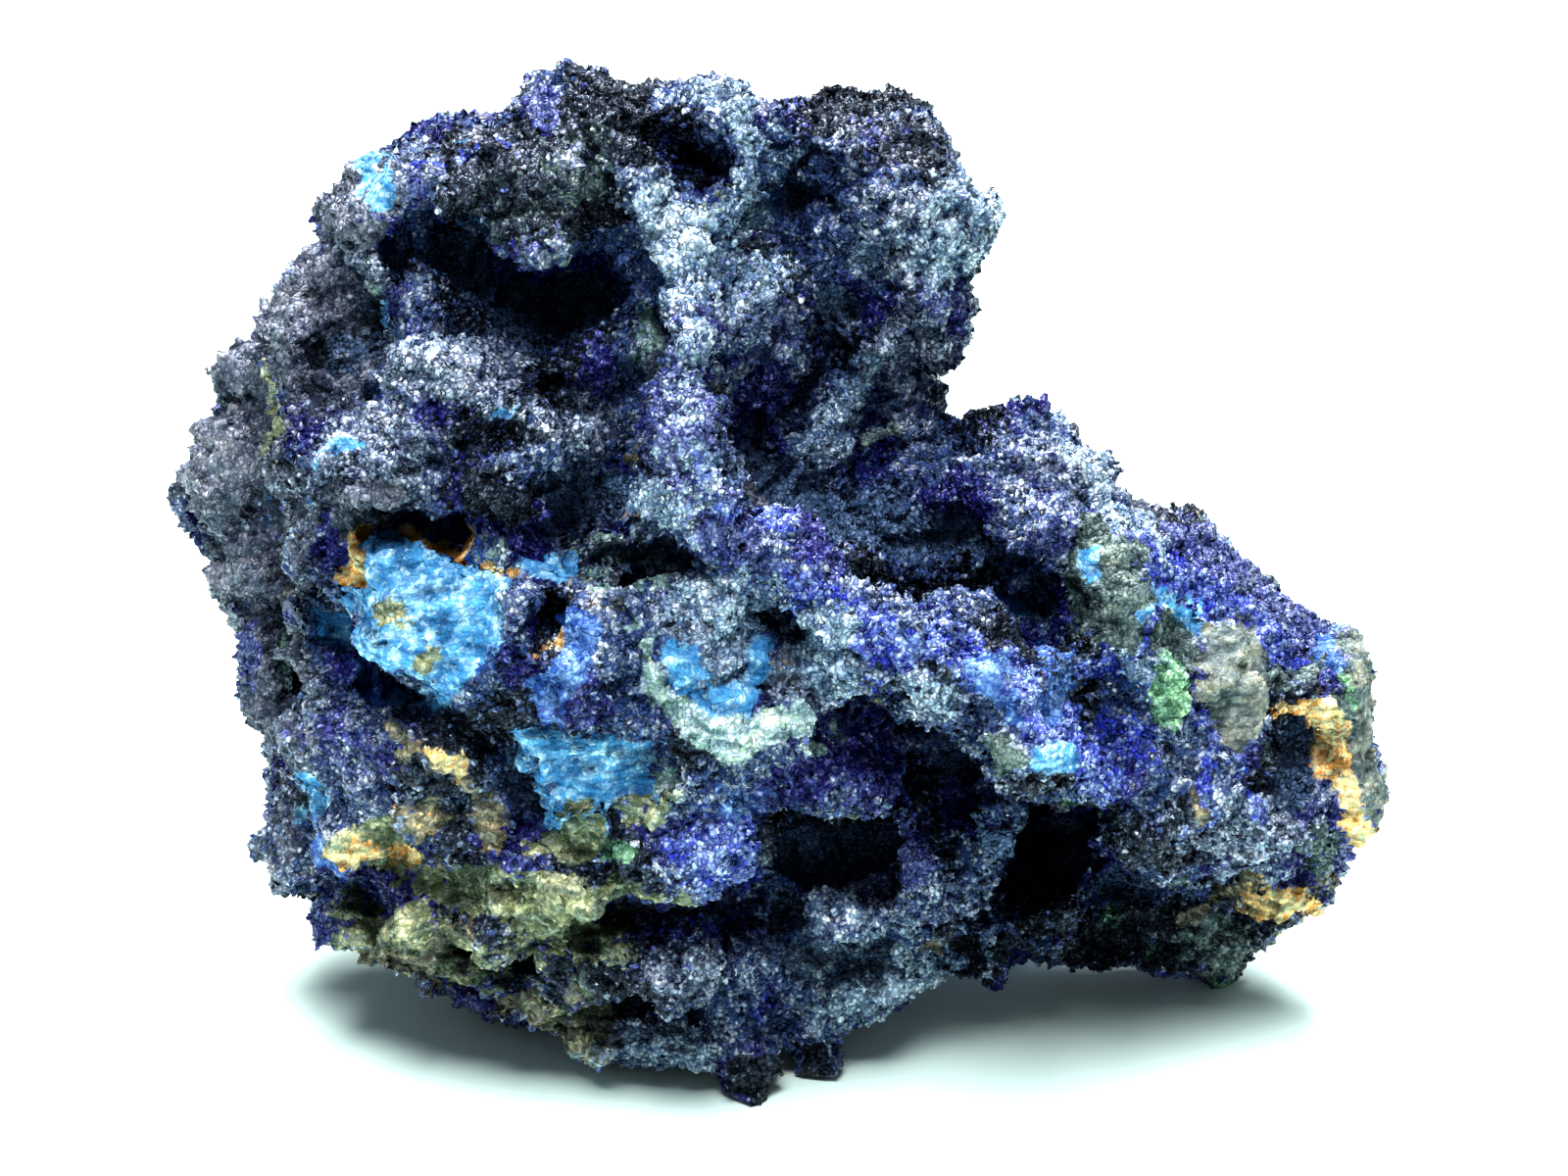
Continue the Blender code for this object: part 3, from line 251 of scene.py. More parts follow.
# Streaks: the strength, then points of across, up and half the width.
STREAKS = {
    "earth": (
        (0.9, (
            (-24.3, 22.5, 0.35), (-22.5, 20.7, 0.35), (-20.1, 19.8, 0.35), (-17.7, 18.9, 0.35),
        )),
        (0.8, ((24.4, 10.7, 0.35), (25.8, 11.4, 0.35), (27.6, 12.5, 0.35), (28.5, 13.3, 0.35))),
    ),
    "violet": (
        (0.9, (
            (-6.3, 46.8, 1), (-6.3, 43.2, 1.6), (-6.1, 40.2, 2.6), (-5.6, 37.4, 3.2),
            (-4.2, 34.8, 2.4), (-1.8, 32.7, 1.6), (-0.3, 31.8, 1.2),
        )),
        (0.9, (
            (22.6, 33.2, 0.55), (24, 33, 0.55), (25.5, 31.2, 0.55), (27.4, 29.4, 0.55),
            (29.7, 27.9, 0.55), (30.6, 27.4, 0.55),
        )),
        (0.7, ((2.5, 7.6, 0.5), (5.4, 8.8, 0.5))),
    ),
    "royal": (
        (0.85, (
            (-0.3, 31.2, 0.9), (2.1, 29.4, 1.5), (4.5, 28.5, 2), (6.6, 27, 1.6), (9, 28.2, 1.4),
            (12, 26.1, 1.3), (14.7, 24, 1.6), (17.1, 21.6, 1.9), (18.9, 19.2, 1.2),
        )),
        (1.3, ((20.7, 34.5, 0.6), (23.6, 32.6, 0.8), (26.9, 30, 0.8), (30.3, 28, 0.7))),
        (0.9, ((22.4, 29.7, 0.45), (22.2, 28.1, 0.45), (21, 27.1, 0.45), (19.6, 26.8, 0.45))),
        (0.9, (
            (26.9, 28.2, 0.4), (26.4, 25.8, 0.4), (26.1, 23.4, 0.4), (25.8, 21.6, 0.4),
            (25.5, 19.2, 0.4), (25.1, 17.2, 0.4),
        )),
        (0.8, ((27.9, 20.4, 0.7), (28.8, 17.4, 0.7))),
        (0.6, ((-22.5, 57.3, 0.35), (-19.8, 57.9, 0.35), (-17.1, 58.2, 0.35))),
    ),
    "azure": (
        (1, ((-12.9, 28.8, 1.1), (-13.2, 27, 1.1), (-13.8, 25.5, 1.1), (-14.7, 24, 1.1))),
        (1, ((-29.4, 17.4, 0.6), (-28.5, 16.2, 0.6), (-27.6, 13.8, 0.6), (-27, 12, 0.6))),
        (1, ((11.7, 26.4, 0.9), (13.5, 24, 0.9))),
        (0.9, ((33, 28.4, 0.6), (33.2, 26.2, 0.6))),
    ),
    "frost": (
        (1.3, (
            (-4.4, 62.4, 1.6), (-2.6, 61, 1.6), (-2.1, 58, 1.5), (-2.5, 54.6, 1.6),
            (-4.2, 52.5, 1.8), (-6.3, 52.2, 2.6), (-8, 53.4, 1.5), (-7.6, 55.4, 1),
        )),
        (0.8, ((4.8, 44.4, 1.2), (3.3, 42, 1.2), (1.8, 39.6, 1.2))),
        (0.7, ((17, 40, 1), (18.6, 37.8, 1), (20.4, 35.8, 1), (23, 33.8, 1))),
        (0.5, ((-6.3, 49.5, 1), (-6.3, 44.5, 1))),
    ),
    "sky": (
        (1, (
            (-6.5, 27.1, 1), (-6, 25.2, 1), (-4.8, 23.9, 1), (-3.3, 23.9, 1), (-2, 25.2, 1),
            (-1.8, 26.9, 1),
        )),
        (1, ((-30.3, 20.7, 0.6), (-30.3, 19.2, 0.6), (-29.4, 17.4, 0.6))),
        (1, ((23.4, 31.2, 0.8), (25.8, 28.8, 0.9), (27, 28.2, 0.9))),
    ),
    "cream": (
        (1, (
            (-8.6, 27.2, 0.7), (-8.1, 25.2, 0.8), (-6.9, 22.8, 1.1), (-4.5, 21.9, 1.4),
            (-2.1, 22.2, 1.3), (0.6, 22.8, 1), (1.8, 21.9, 0.8),
        )),
    ),
    "malachite": (
        (0.9, ((33.6, 25.4, 0.5), (34.8, 23.6, 0.5))),
    ),
    "olive": (
        (0.9, ((-13.5, 12.9, 0.4), (-10.5, 12.4, 0.4), (-7.5, 12.3, 0.4), (-6.5, 12.6, 0.4))),
    ),
    "clay": (
        (0.7, (
            (35.4, 28.8, 0.9), (36.4, 25.2, 0.9), (36.8, 21.6, 0.9), (37.5, 19.2, 0.9),
            (36.9, 17.4, 0.9),
        )),
    ),
    "ochre": (
        (1, (
            (-27.9, 31.2, 0.5), (-27.2, 32.1, 0.7), (-26.8, 33.6, 0.7), (-26.1, 34.6, 0.6),
            (-24.6, 34.9, 0.4), (-23.1, 35, 0.35), (-21.6, 34.5, 0.4), (-20.2, 33.6, 0.4),
            (-19.2, 32.7, 0.35), (-17.1, 32.5, 0.35), (-15.4, 32.6, 0.3),
        )),
        (0.95, (
            (32.7, 21.6, 1.1), (33.4, 19.8, 1.2), (34.2, 18.6, 1.1), (34.8, 16.8, 0.9),
            (35.3, 15.7, 0.8),
        )),
    ),
}

# Split faces: the strength, then the corners across and up.
FACES = {
    "sky": (
        (0.78, (
            (-28.2, 30.2), (-25.9, 33.9), (-22.5, 34.3), (-17.4, 32), (-18, 29.1), (-20.1, 25.1),
            (-21.4, 23.2), (-23.6, 24.8), (-26.2, 27),
        )),
        (0.78, (
            (-17.1, 22.7), (-11, 22.5), (-8, 20.3), (-8.2, 18.8), (-10.5, 18.2), (-11.5, 16.3),
            (-15.3, 15.6), (-16.3, 19.8),
        )),
    ),
    "violet": (
        (0.85, ((23, 35.4), (27.4, 34.4), (33, 29.4), (31.5, 27.8), (27.5, 30), (24, 33.2))),
    ),
}

# Rounded lobes that the crust is swollen into: across, up, half the width, half the height, and
# the roll in degrees of those that are turned. Creases are left between them.
LOBES = (
    (-24.9, 33.2, 2.6, 1.6), (-10.5, 4.6, 2.4, 2), (1.2, 27.2, 2.8, 2.8, -20),
    (3.6, 25.2, 2.4, 1.8, -30), (-9.4, 36.4, 1.8, 2.6), (-10.8, 34.3, 3.2, 1.1),
    (-15.9, 21.6, 2.4, 3.4), (-12.3, 21.6, 3.6, 3.4), (-26.7, 27.3, 2.6, 2.2),
    (-26.1, 50.4, 1.8, 2.4), (28.5, 22.2, 1.6, 2.8), (-10.8, 42, 1.8, 1.8), (-1.5, 27.6, 1.8, 2.4),
    (-23.4, 29.4, 3.6, 4), (6.6, 7.4, 2.6, 2.2, 30), (-18, 56.4, 6.6, 3.6, 5),
    (-12.9, 62.1, 3, 1.7), (-14.7, 60.5, 2.5, 1.9), (-10.8, 60, 2.4, 2.7), (-15.6, 52.7, 2.5, 1.8),
    (-22.2, 49.2, 3.1, 2.3), (-21.6, 44.7, 5.9, 2.7), (-12, 45, 3.1, 2.5),
    (-24.6, 40.2, 5.3, 3.1, 8), (-14.4, 40.8, 5.1, 2.3, -25), (-24, 36.6, 4.4, 2.2),
    (-16.8, 37.2, 4.4, 2.4), (-6.9, 53.7, 3, 3.7), (-9.6, 56.7, 2.5, 2.1), (-5, 59.8, 3, 2.4),
    (-6.3, 47.4, 3, 2.7), (-6.6, 41.4, 3, 4.2), (-5.7, 36, 3.3, 3.3), (-0.9, 49.2, 2.7, 4.5, -10),
    (-0.3, 44.4, 2.4, 3.6), (4.5, 59.4, 5.4, 2.7), (7.5, 55.8, 3.6, 3), (3.9, 53.4, 3.6, 2.1),
    (9.9, 52.8, 3, 3.6), (12, 54.6, 1.8, 1.8), (7.5, 49.8, 3, 2.1), (9.3, 46.2, 2.7, 2.4),
    (4.5, 43.2, 2.1, 5.1, -31), (7.5, 42, 2.7, 2.4), (14.1, 40.2, 4.2, 2.4, -15),
    (18.3, 38.4, 2.1, 1.8), (9.3, 37.8, 4.2, 2.1), (14.1, 36, 4.5, 2.4, -10),
    (1.5, 33.6, 4.8, 3.3, -25), (11.7, 30, 3.6, 2.1, -20), (5.7, 28.8, 4.8, 2.7, -20),
    (14.1, 26.4, 3.6, 2.7), (15.3, 21, 4.5, 3), (12.9, 21, 1.7, 1.8), (9.3, 25.2, 2.7, 1.8, -15),
    (20.4, 32.4, 3, 4), (24.6, 35.4, 2.4, 1.5, -20), (28, 31, 4.4, 2, -38), (23.4, 24, 2.1, 3),
    (27.6, 25.2, 2.1, 4.2), (20.7, 20.4, 3, 3), (25.5, 19.8, 2.7, 3.6), (31.5, 19.8, 2, 2.6),
    (29.1, 16.2, 4.2, 2.4), (22.5, 15.6, 3.6, 2.4), (33.9, 25.2, 3, 5.4, -10),
    (35.2, 18, 2.4, 3.4, 10), (30.3, 12, 4.2, 2.1, 15), (25.5, 9, 4.8, 2.1),
    (16.2, 10.8, 3.3, 2.5), (3.3, 11.4, 3.3, 2.7), (8.1, 13.2, 3, 2.7), (11.4, 14.4, 2, 4.5, -15),
    (3.9, 6.6, 4.5, 2.7, 10), (1.5, 19.8, 5.1, 3), (6.6, 22, 3.4, 2), (-5.1, 29.4, 4.5, 3.9),
    (-2.1, 22.8, 4.8, 2.4), (-12.3, 28.2, 3, 3.6), (-15.9, 30, 2.7, 2.1), (-27.9, 22.2, 4.5, 3.6),
    (-21.3, 20.1, 4.8, 2.3, -20), (-22.5, 17.7, 2.4, 2.1), (-18.9, 17.7, 1.9, 2.1),
    (-25.8, 18.9, 2.3, 2.9), (-15.6, 14.4, 2.5, 1.8), (-20.7, 15, 2.7, 1.5), (-6.3, 15, 5.4, 3.7),
    (-14.7, 11.7, 4.2, 2.1), (-27.3, 15.6, 2.7, 2.4), (-30.9, 15, 2.4, 3), (-27.9, 10.8, 2.5, 2.4),
    (-23.1, 9.6, 3, 2.5), (-18.3, 9, 2.7, 2.4), (-14.7, 6.6, 3.3, 2.7), (-9, 7.2, 5.7, 4.3),
    (-2.1, 8.1, 2.9, 2.5), (-6.3, 3.6, 3.3, 2.1), (-2.4, 2.1, 2.1, 1.9), (-11.1, 3, 3.3, 1.3),
    (-34.5, 45, 1.8, 2.7), (-34.8, 38.4, 2.4, 3.6), (-33.3, 32.4, 2.1, 3),
    (-30.3, 49.2, 3.6, 3, 40), (-26.1, 55.2, 3.6, 3.6), (-32.4, 26.4, 1.8, 3.6),
)

# Patches where the front can't be seen: how wide they are, the level of noise that they start at,
# and the strength.
HIDDEN_PATCHES = {
    "druse": (8.0, 0.12, 0.6),
    "wall": (13.0, 0.02, 0.7),
    "greygreen": (9.0, 0.28, 0.7),
    "earth": (11.0, 0.34, 0.6),
    "violet": (8.0, 0.16, 0.7),
    "royal": (8.0, 0.34, 0.7),
    "azure": (11.0, 0.5, 0.75),
    "frost": (8.0, 0.3, 0.6),
    "sky": (13.0, 0.54, 0.85),
    "cream": (9.0, 0.58, 0.7),
    "olive": (11.0, 0.46, 0.7),
    "malachite": (10.0, 0.58, 0.8),
    "clay": (10.0, 0.56, 0.7),
    "ochre": (11.0, 0.6, 0.7),
}
HIDDEN_EDGE = 0.12
HIDDEN_OFFSET = 37.0

# Minerals that come and go all over the stone: the same columns.
BROAD_PATCHES = {
    "indigo": (5.5, 0.02, 0.75),
    "slate": (7.0, 0.08, 0.75),
}
BROAD_EDGE = 0.2

# How the edge of a patch wanders, as pairs of size and distance, and the seed. A patch fades out
# over a share of its own size, and is broken up by noise of this size and strength.
WANDER = ((3.0, 1.1), (1.1, 0.55))
WANDER_SEED = 3
PATCH_EDGE = (0.65, 1.35)
HOLLOW_EDGE = (0.8, 1.15)
BREAK_SIZE = 1.3
BREAK_SHARE = 0.55
SKY_BREAK_SHARE = 1.3

# A point counts as seen from the front when it lies no deeper than this behind what hides it.
SEEN_DEPTH = (2.0, 4.5)

# Painted shade: a point's shelter is the share of rays from it that meet the stone within a
# reach, and its colour and glint are painted that much darker. Each row holds a reach and how
# dark full shelter is. It is found once for each small block of the stone, with rays that lean
# away from the skin, and then evened out a few times.
PAINTED_SHELTER_SHADES = ((2.5, 0.45), (9.0, 0.65))
SHELTER_RAYS = 24
SHELTER_SEED = 5
SHELTER_LEAN = 1.02
SHELTER_BLOCK = 0.8
SHELTER_EVENING = 3
# Painted shade: how much darker the creases and pits of the relief are painted.
CREASE_PAINTED_SHADE = 0.7

# The relief of the skin: how far the skin is moved out before the relief is cut into it, how far
# its points are shaken about, and where it levels out above the resting surface.
OUTWARD = 0.88
SHAKE = 0.07
SHAKE_SEED = 8
KNOB_REACH = 0.85
LOBE_HEIGHT = 1.5
LOBE_LEAST = 0.15
HIDDEN_LOBE_SIZE = 6.5
CHIP_SIZE = 0.85
CHIP_HEIGHT = 0.85
CHIP_RIM = (0.04, 0.22)
CHIP_SLANT = 0.6
CHIP_SPREAD = 7.0
SPLIT_CHIP_SIZE = 2.2
SPLIT_CHIP_HEIGHT = 1.1
# Painted glint on split faces: most on the rims of their flakes, and this share elsewhere.
RIM_GLINT_LOWEST = 0.45
BLOCK_HEIGHT = 1.1
BLOCKY = {"wall": 1.0, "slate": 0.9, "greygreen": 0.8, "earth": 0.7, "indigo": 0.5, "navy": 0.35}
HOLLOW_DEPTH = 1.4
FARTHEST_OUT = 0.55
FLAT_LOWEST = 0.3
FLAT_HIGHEST = 1.5
FRACTURE_EVENNESS = 0.75
AZURE_SPLIT = 0.6

# How much lobes, knobs and fine relief, and in the fine relief pimples and chips, count for the
# painted shade and painted glint of a point, and how much of the fine relief blocks take over.
HEIGHT_SHARES = (0.35, 0.2, 0.45)
FINE_SHARES = (0.6, 0.4)
BLOCKY_FINE = 0.6
FLAKE_SHADE = 0.75

# The skin is one surface in these pieces of like size, from left to right.
WHOLE_SKIN = "whole_skin"
SKIN_PIECES = ("skin_far_left", "skin_left", "skin_right", "skin_far_right")

# Painted glint: how much more the tops of knobs get than the cracks between them, and the least.
TOP_GLINT = 1.5
CRACK_GLINT = 0.35
LEAST_GLINT = 0.02
MOST_GLINT = 0.9

# The groups of crystals: the minerals they stand for and the seed.
GROUPS = {
    "dark_crystals_left": (("navy", "slate", "hollow"), 1),
    "dark_crystals_right": (("navy", "slate", "hollow"), 2),
    "blue_crystals": (("violet", "royal", "indigo"), 3),
    "frosted_crystals": (("frost", "cream", "druse", "wall"), 4),
    "sky_blue_flakes": (("sky", "azure"), 5),
    "green_tufts": (("malachite", "olive", "greygreen"), 6),
    "earthy_grains": (("earth", "clay", "ochre"), 7),
}
SKIN_VALUES = ("glint", "chalk", "tone")
LEFT_OF_MIDDLE = 0.0
LOWEST_CRYSTAL = 0.7

# How far crystals lean from the skin, their length beside the usual length, their width and height
# beside their length, how deep they sink in, the length and lean of the ridge on top, and how much
# lower they are where it is chalky.
CRYSTAL_LEAN = 0.32
CRYSTAL_SIZES = (0.5, 1.6)
CRYSTAL_WIDTH = (0.45, 0.8)
CRYSTAL_HEIGHT = (0.35, 0.7)
CRYSTAL_SINK = 0.35
RIDGE_LENGTH = (0.25, 0.8)
RIDGE_LEAN = 0.3
CHALKY_LOWERING = 0.4
NEARLY_UPRIGHT = 0.9

# How much darker or lighter, and how much duller or brighter, a crystal is than the skin.
TONES = (0.75, 1.3)
GLINTS = (0.2, 2.0)


def linear(red, green, blue):
    """A colour as seen on a screen, from 0 to 255, turned into the renderer's own values."""
    shares = (value / 255.0 for value in (red, green, blue))
    return tuple(s / 12.92 if s <= 0.04045 else ((s + 0.055) / 1.055) ** 2.4 for s in shares)


def colour_property(name, description, shade):
    return bpy.props.FloatVectorProperty(
        name=name,
        description=description,
        default=linear(*shade),
        min=0.0,
        max=1.0,
        subtype="COLOR",
    )


def length_property(name, description, millimetres, lowest, highest):
    return bpy.props.FloatProperty(
        name=name,
        description=description,
        default=millimetres * MM,
        min=lowest * MM,
        max=highest * MM,
        subtype="DISTANCE",
        unit="LENGTH",
    )


class AzuriteSettings(bpy.types.PropertyGroup):
    """The sizes and colours that can be changed before the pieces are built."""

    skin_grain: length_property("Skin grain", "Size of the faces of the skin", 0.33, 0.25, 2.0)
    knob_size: length_property("Knob size", "Distance between the knobs", 2.9, 0.8, 6.0)
    knob_height: length_property("Knob height", "How high the knobs stand", 0.8, 0.0, 2.0)
    pimple_size: length_property("Pimple size", "Distance between the pimples", 1.15, 0.5, 3.0)
    pimple_height: length_property("Pimple height", "How high the pimples stand", 0.45, 0.0, 1.0)
    crystal_length: length_property("Crystal length", "Usual length of a crystal", 0.36, 0.2, 2.0)
    crystal_cover: bpy.props.FloatProperty(
        name="Crystal cover",
        description="How many crystals grow on a square millimetre",
        default=2.9,
        min=0.1,
        max=8.0,
    )


# Every mineral has the colours of its body and of its painted glints, as in navy_deep and
# navy_light.
for mineral, (*_, called, deep, light) in MINERALS.items():
    AzuriteSettings.__annotations__[mineral + "_deep"] = colour_property(
        called.capitalize(), f"Colour of the {called}", deep
    )
    AzuriteSettings.__annotations__[mineral + "_light"] = colour_property(
        f"{called.capitalize()} glint", f"Colour of the glints of the {called}", light
    )


# Measuring on the stone ----------------------------------------------------------------------


def steps_between(values, low, high):
    """Rises smoothly from 0 to 1 as the values go from low to high."""
    share = np.clip((values - low) / (high - low), 0.0, 1.0)
    return share * share * (3.0 - 2.0 * share)


def board_position(points):
    """How far across and how far up points in millimetres appear from the sighting point."""
    away = points - TO_MIDDLE - EYE
    share = ((FOOT - EYE) @ TOWARDS) / (away @ TOWARDS)
    seen = EYE + away * share[:, None]
    return np.stack([seen @ RIGHT, (seen - FOOT) @ RISE], 1)


def noise_at(points, size, offset=0.0):
    """Smooth noise between about -1 and 1 at points in millimetres."""
    rows = (points / size + offset).tolist()
    return np.array([noise.noise(Vector(row)) for row in rows])


def wandered(points, board):
    """Moves the board positions about, so that the edges of patches wander."""
    noise.seed_set(WANDER_SEED)
    moved = board.copy()
    for size, distance in WANDER:
        rows = (points / size).tolist()
        shift = np.array([noise.noise_vector(Vector(row))[:2] for row in rows])
        moved += shift * distance
    return moved


def seen_from_front(points, tree):
    """1 where a point is seen from the sighting point, and 0 where the stone hides it."""
    eye = Vector((EYE + TO_MIDDLE).tolist())
    deeper = np.empty(len(points))
    for index, row in enumerate(points.tolist()):
        line = Vector(row) - eye
        hit = tree.ray_cast(eye, line.normalized())
        deeper[index] = line.length - hit[3] if hit[0] else 0.0
    return 1.0 - steps_between(deeper, *SEEN_DEPTH)


def ellipse_reach(board, across, up, wide, high, roll=0.0):
    """How far each board position is from the middle of an ellipse: 1 on its rim."""
    turn = math.radians(roll)
    east = board[:, 0] - across
    north = board[:, 1] - up
    along = (east * math.cos(turn) + north * math.sin(turn)) / wide
    over = (north * math.cos(turn) - east * math.sin(turn)) / high
    return np.hypot(along, over)


def patch_cover(board, rows, edge):
    cover = np.zeros(len(board))
    for across, up, wide, high, strength, *roll in rows:
        reach = ellipse_reach(board, across, up, wide, high, *roll)
        inside = 1.0 - steps_between(reach, *edge)
        cover = np.maximum(cover, inside * strength)
    return cover


def streak_cover(board, rows):
    cover = np.zeros(len(board))
    for strength, points in rows:
        for start, end in zip(points, points[1:]):
            first = np.array(start[:2])
            leg = np.array(end[:2]) - first
            share = np.clip((board - first) @ leg / (leg @ leg), 0.0, 1.0)
            half = start[2] + (end[2] - start[2]) * share
            gap = np.linalg.norm(board - first - share[:, None] * leg, axis=1) / half
            cover = np.maximum(cover, (1.0 - steps_between(gap, *PATCH_EDGE)) * strength)
    return cover


def face_cover(board, rows):
    cover = np.zeros(len(board))
    for strength, corners in rows:
        inside = np.zeros(len(board), dtype=bool)
        ring = corners[1:] + corners[:1]
        for (x0, y0), (x1, y1) in zip(corners, ring):
            spans = (y0 > board[:, 1]) != (y1 > board[:, 1])
            height = np.where(y1 == y0, 1.0, y1 - y0)
            crossing = x0 + (board[:, 1] - y0) * (x1 - x0) / height
            inside ^= spans & (board[:, 0] < crossing)
        cover = np.maximum(cover, inside * strength)
    return cover


def broken_up(cover, points, share):
    """Lets what lies below show through a patch where the patch is thin."""
    field = noise_at(points, BREAK_SIZE) * 0.5 + 0.5
    return np.clip(cover * (1.0 + share) - field * share, 0.0, 1.0) * (cover > 0.0)


def evened(values, edges):
    """Evens the values out along the edges of the skin."""
    count = len(values)
    first, second = edges.T
    near = np.bincount(first, minlength=count) + np.bincount(second, minlength=count)
    for _ in range(SHELTER_EVENING):
        there = np.bincount(first, values[second], count)
        back = np.bincount(second, values[first], count)
        values = (values + there + back) / (near + 1.0)
    return values


def painted_occlusion_shade(points, normals, edges, tree):
    """The painted shade of each point, from the stone round it: 0 in the open."""
    blocks, home, sizes = np.unique(
        np.floor(points / SHELTER_BLOCK), axis=0, return_inverse=True, return_counts=True
    )
    home = home.ravel()
    middle = np.stack([np.bincount(home, column) for column in points.T], 1) / sizes[:, None]
    facing = unit(np.stack([np.bincount(home, column) for column in normals.T], 1) + TINY)
    chance = np.random.default_rng(SHELTER_SEED)
    starts = [Vector(row) for row in (middle + facing).tolist()]
    reaches = np.full((SHELTER_RAYS, len(blocks)), np.inf)
    for turn in range(SHELTER_RAYS):
        way = unit(unit(chance.normal(size=middle.shape)) + facing * SHELTER_LEAN)
        for index, row in enumerate(way.tolist()):
            hit = tree.ray_cast(starts[index], Vector(row), PAINTED_SHELTER_SHADES[-1][0])
            if hit[0]:
                reaches[turn, index] = hit[3]
    light = np.ones(len(blocks))
    for reach, darkness in PAINTED_SHELTER_SHADES:
        light *= 1.0 - (reaches < reach).mean(0) * darkness
    return 1.0 - evened(light[home], edges)


def mineral_cover(points, seen):
    """How strongly each mineral covers each point, by the mineral's name."""
    board = wandered(points, board_position(points))
    cover = {}
    for order, name in enumerate(LAYERS):
        edge = HOLLOW_EDGE if name == "hollow" else PATCH_EDGE
        front = patch_cover(board, PATCHES.get(name, ()), edge)
        front = np.maximum(front, streak_cover(board, STREAKS.get(name, ())))
        front = np.maximum(front, face_cover(board, FACES.get(name, ())))
        share = SKY_BREAK_SHARE if name == "sky" else BREAK_SHARE
        cover[name] = broken_up(front, points, share) * seen
        if name in BROAD_PATCHES:
            size, level, strength = BROAD_PATCHES[name]
            field = noise_at(points, size, HIDDEN_OFFSET * (order + 1))
            cover[name] += steps_between(field, level, level + BROAD_EDGE) * strength
        if name in HIDDEN_PATCHES:
            size, level, strength = HIDDEN_PATCHES[name]
            field = noise_at(points, size, HIDDEN_OFFSET * (order + 1))
            patches = steps_between(field, level, level + HIDDEN_EDGE) * strength
            cover[name] += broken_up(patches, points, BREAK_SHARE) * (1.0 - seen)
        cover[name] = np.minimum(cover[name], 1.0)
    return cover


def top_layer(cover):
    """The share of each mineral that isn't covered by the ones above it."""
    left = np.ones(len(next(iter(cover.values()))))
    shares = {}
    for name in reversed(LAYERS):
        shares[name] = cover[name] * left
        left = left * (1.0 - cover[name])
    shares["navy"] = left
    return shares


def mixed(shares, column):
    """A value of the minerals' table, mixed by their shares."""
    return sum(shares[name] * MINERALS[name][column] for name in MINERALS)


# The rock ------------------------------------------------------------------------------------


def mesh_array(data, name, width, kind=np.float32):
    values = np.empty(len(data) * width, dtype=kind)
    data.foreach_get(name, values)
    return values.reshape(-1, width) if width > 1 else values


def four_corners(mesh):
    """The points' numbers at the corners of each face, where every face has four."""
    return mesh_array(mesh.loops, "vertex_index", 1, np.int32).reshape(-1, 4)


def read_attribute(mesh, name):
    return mesh_array(mesh.attributes[name].data, "value", 1)


def placed(name, data):
    """A new object in the scene."""
    holder = bpy.data.objects.new(name, data)
    bpy.context.scene.collection.objects.link(holder)
    return holder


def mesh_of(name, points, corners, sizes):
    """A mesh from its points, its faces' corners one after another, and each face's size."""
    mesh = bpy.data.meshes.new(name)
    mesh.vertices.add(len(points))
    mesh.vertices.foreach_set("co", points.astype(np.float32).ravel())
    mesh.loops.add(len(corners))
    mesh.loops.foreach_set("vertex_index", corners.astype(np.int32))
    mesh.polygons.add(len(sizes))
    begins = np.concatenate([[0], np.cumsum(sizes)[:-1]]).astype(np.int32)
    mesh.polygons.foreach_set("loop_start", begins)
    mesh.update(calc_edges=True)
    return mesh


def write_attribute(mesh, name, values):
    attribute = mesh.attributes.new(name, "FLOAT", "POINT")
    attribute.data.foreach_set("value", np.asarray(values, dtype=np.float32))


def fine_skin(source, settings):
    """The stone's surface with small even faces."""
    copy = placed("copy", source.data.copy())
    remesh = copy.modifiers.new("small faces", "REMESH")
    remesh.mode = "VOXEL"
    remesh.voxel_size = settings.skin_grain
    bpy.context.view_layer.update()
    graph = bpy.context.evaluated_depsgraph_get()
    skin = bpy.data.meshes.new_from_object(copy.evaluated_get(graph))
    bpy.data.objects.remove(copy)
    skin.name = WHOLE_SKIN
    return skin


def knob_relief(points, size):
    """Round knobs packed side by side: 1 on their tops and 0 in the creases between them."""
    far = np.empty(len(points))
    for index, row in enumerate((points / size).tolist()):
        far[index] = noise.voronoi(Vector(row))[0][0]
    return 1.0 - np.clip(far / KNOB_REACH, 0.0, 1.0) ** 2


def chip_relief(points, size):
    """Chips of crust, each with a flat face of its own slant: heights and rims from 0 to 1."""
    heights = np.empty(len(points))
    rims = np.empty(len(points))
    for index, row in enumerate((points / size).tolist()):
        place = Vector(row)
        reaches, middles = noise.voronoi(place)
        slant = noise.cell_vector(middles[0] * CHIP_SPREAD) * 2.0 - Vector((1.0, 1.0, 1.0))
        heights[index] = (place - middles[0]).dot(slant)
        rims[index] = reaches[1] - reaches[0]
    heights = np.clip(heights * CHIP_SLANT + 0.5, 0.0, 1.0)
    return heights, 1.0 - steps_between(rims, *CHIP_RIM)


def lobe_relief(points, seen):
    """Swollen lobes: 1 on top, 0 in the creases. Out of the front's sight they lie anyhow."""
    board = wandered(points, board_position(points))
    top = np.zeros(len(points))
    for lobe in LOBES:
        reach = ellipse_reach(board, *lobe)
        top = np.maximum(top, 1.0 - np.minimum(reach, 1.0) ** 2)
    hidden = knob_relief(points, HIDDEN_LOBE_SIZE)
    return np.maximum(np.sqrt(top * seen + hidden * (1.0 - seen)), LOBE_LEAST)


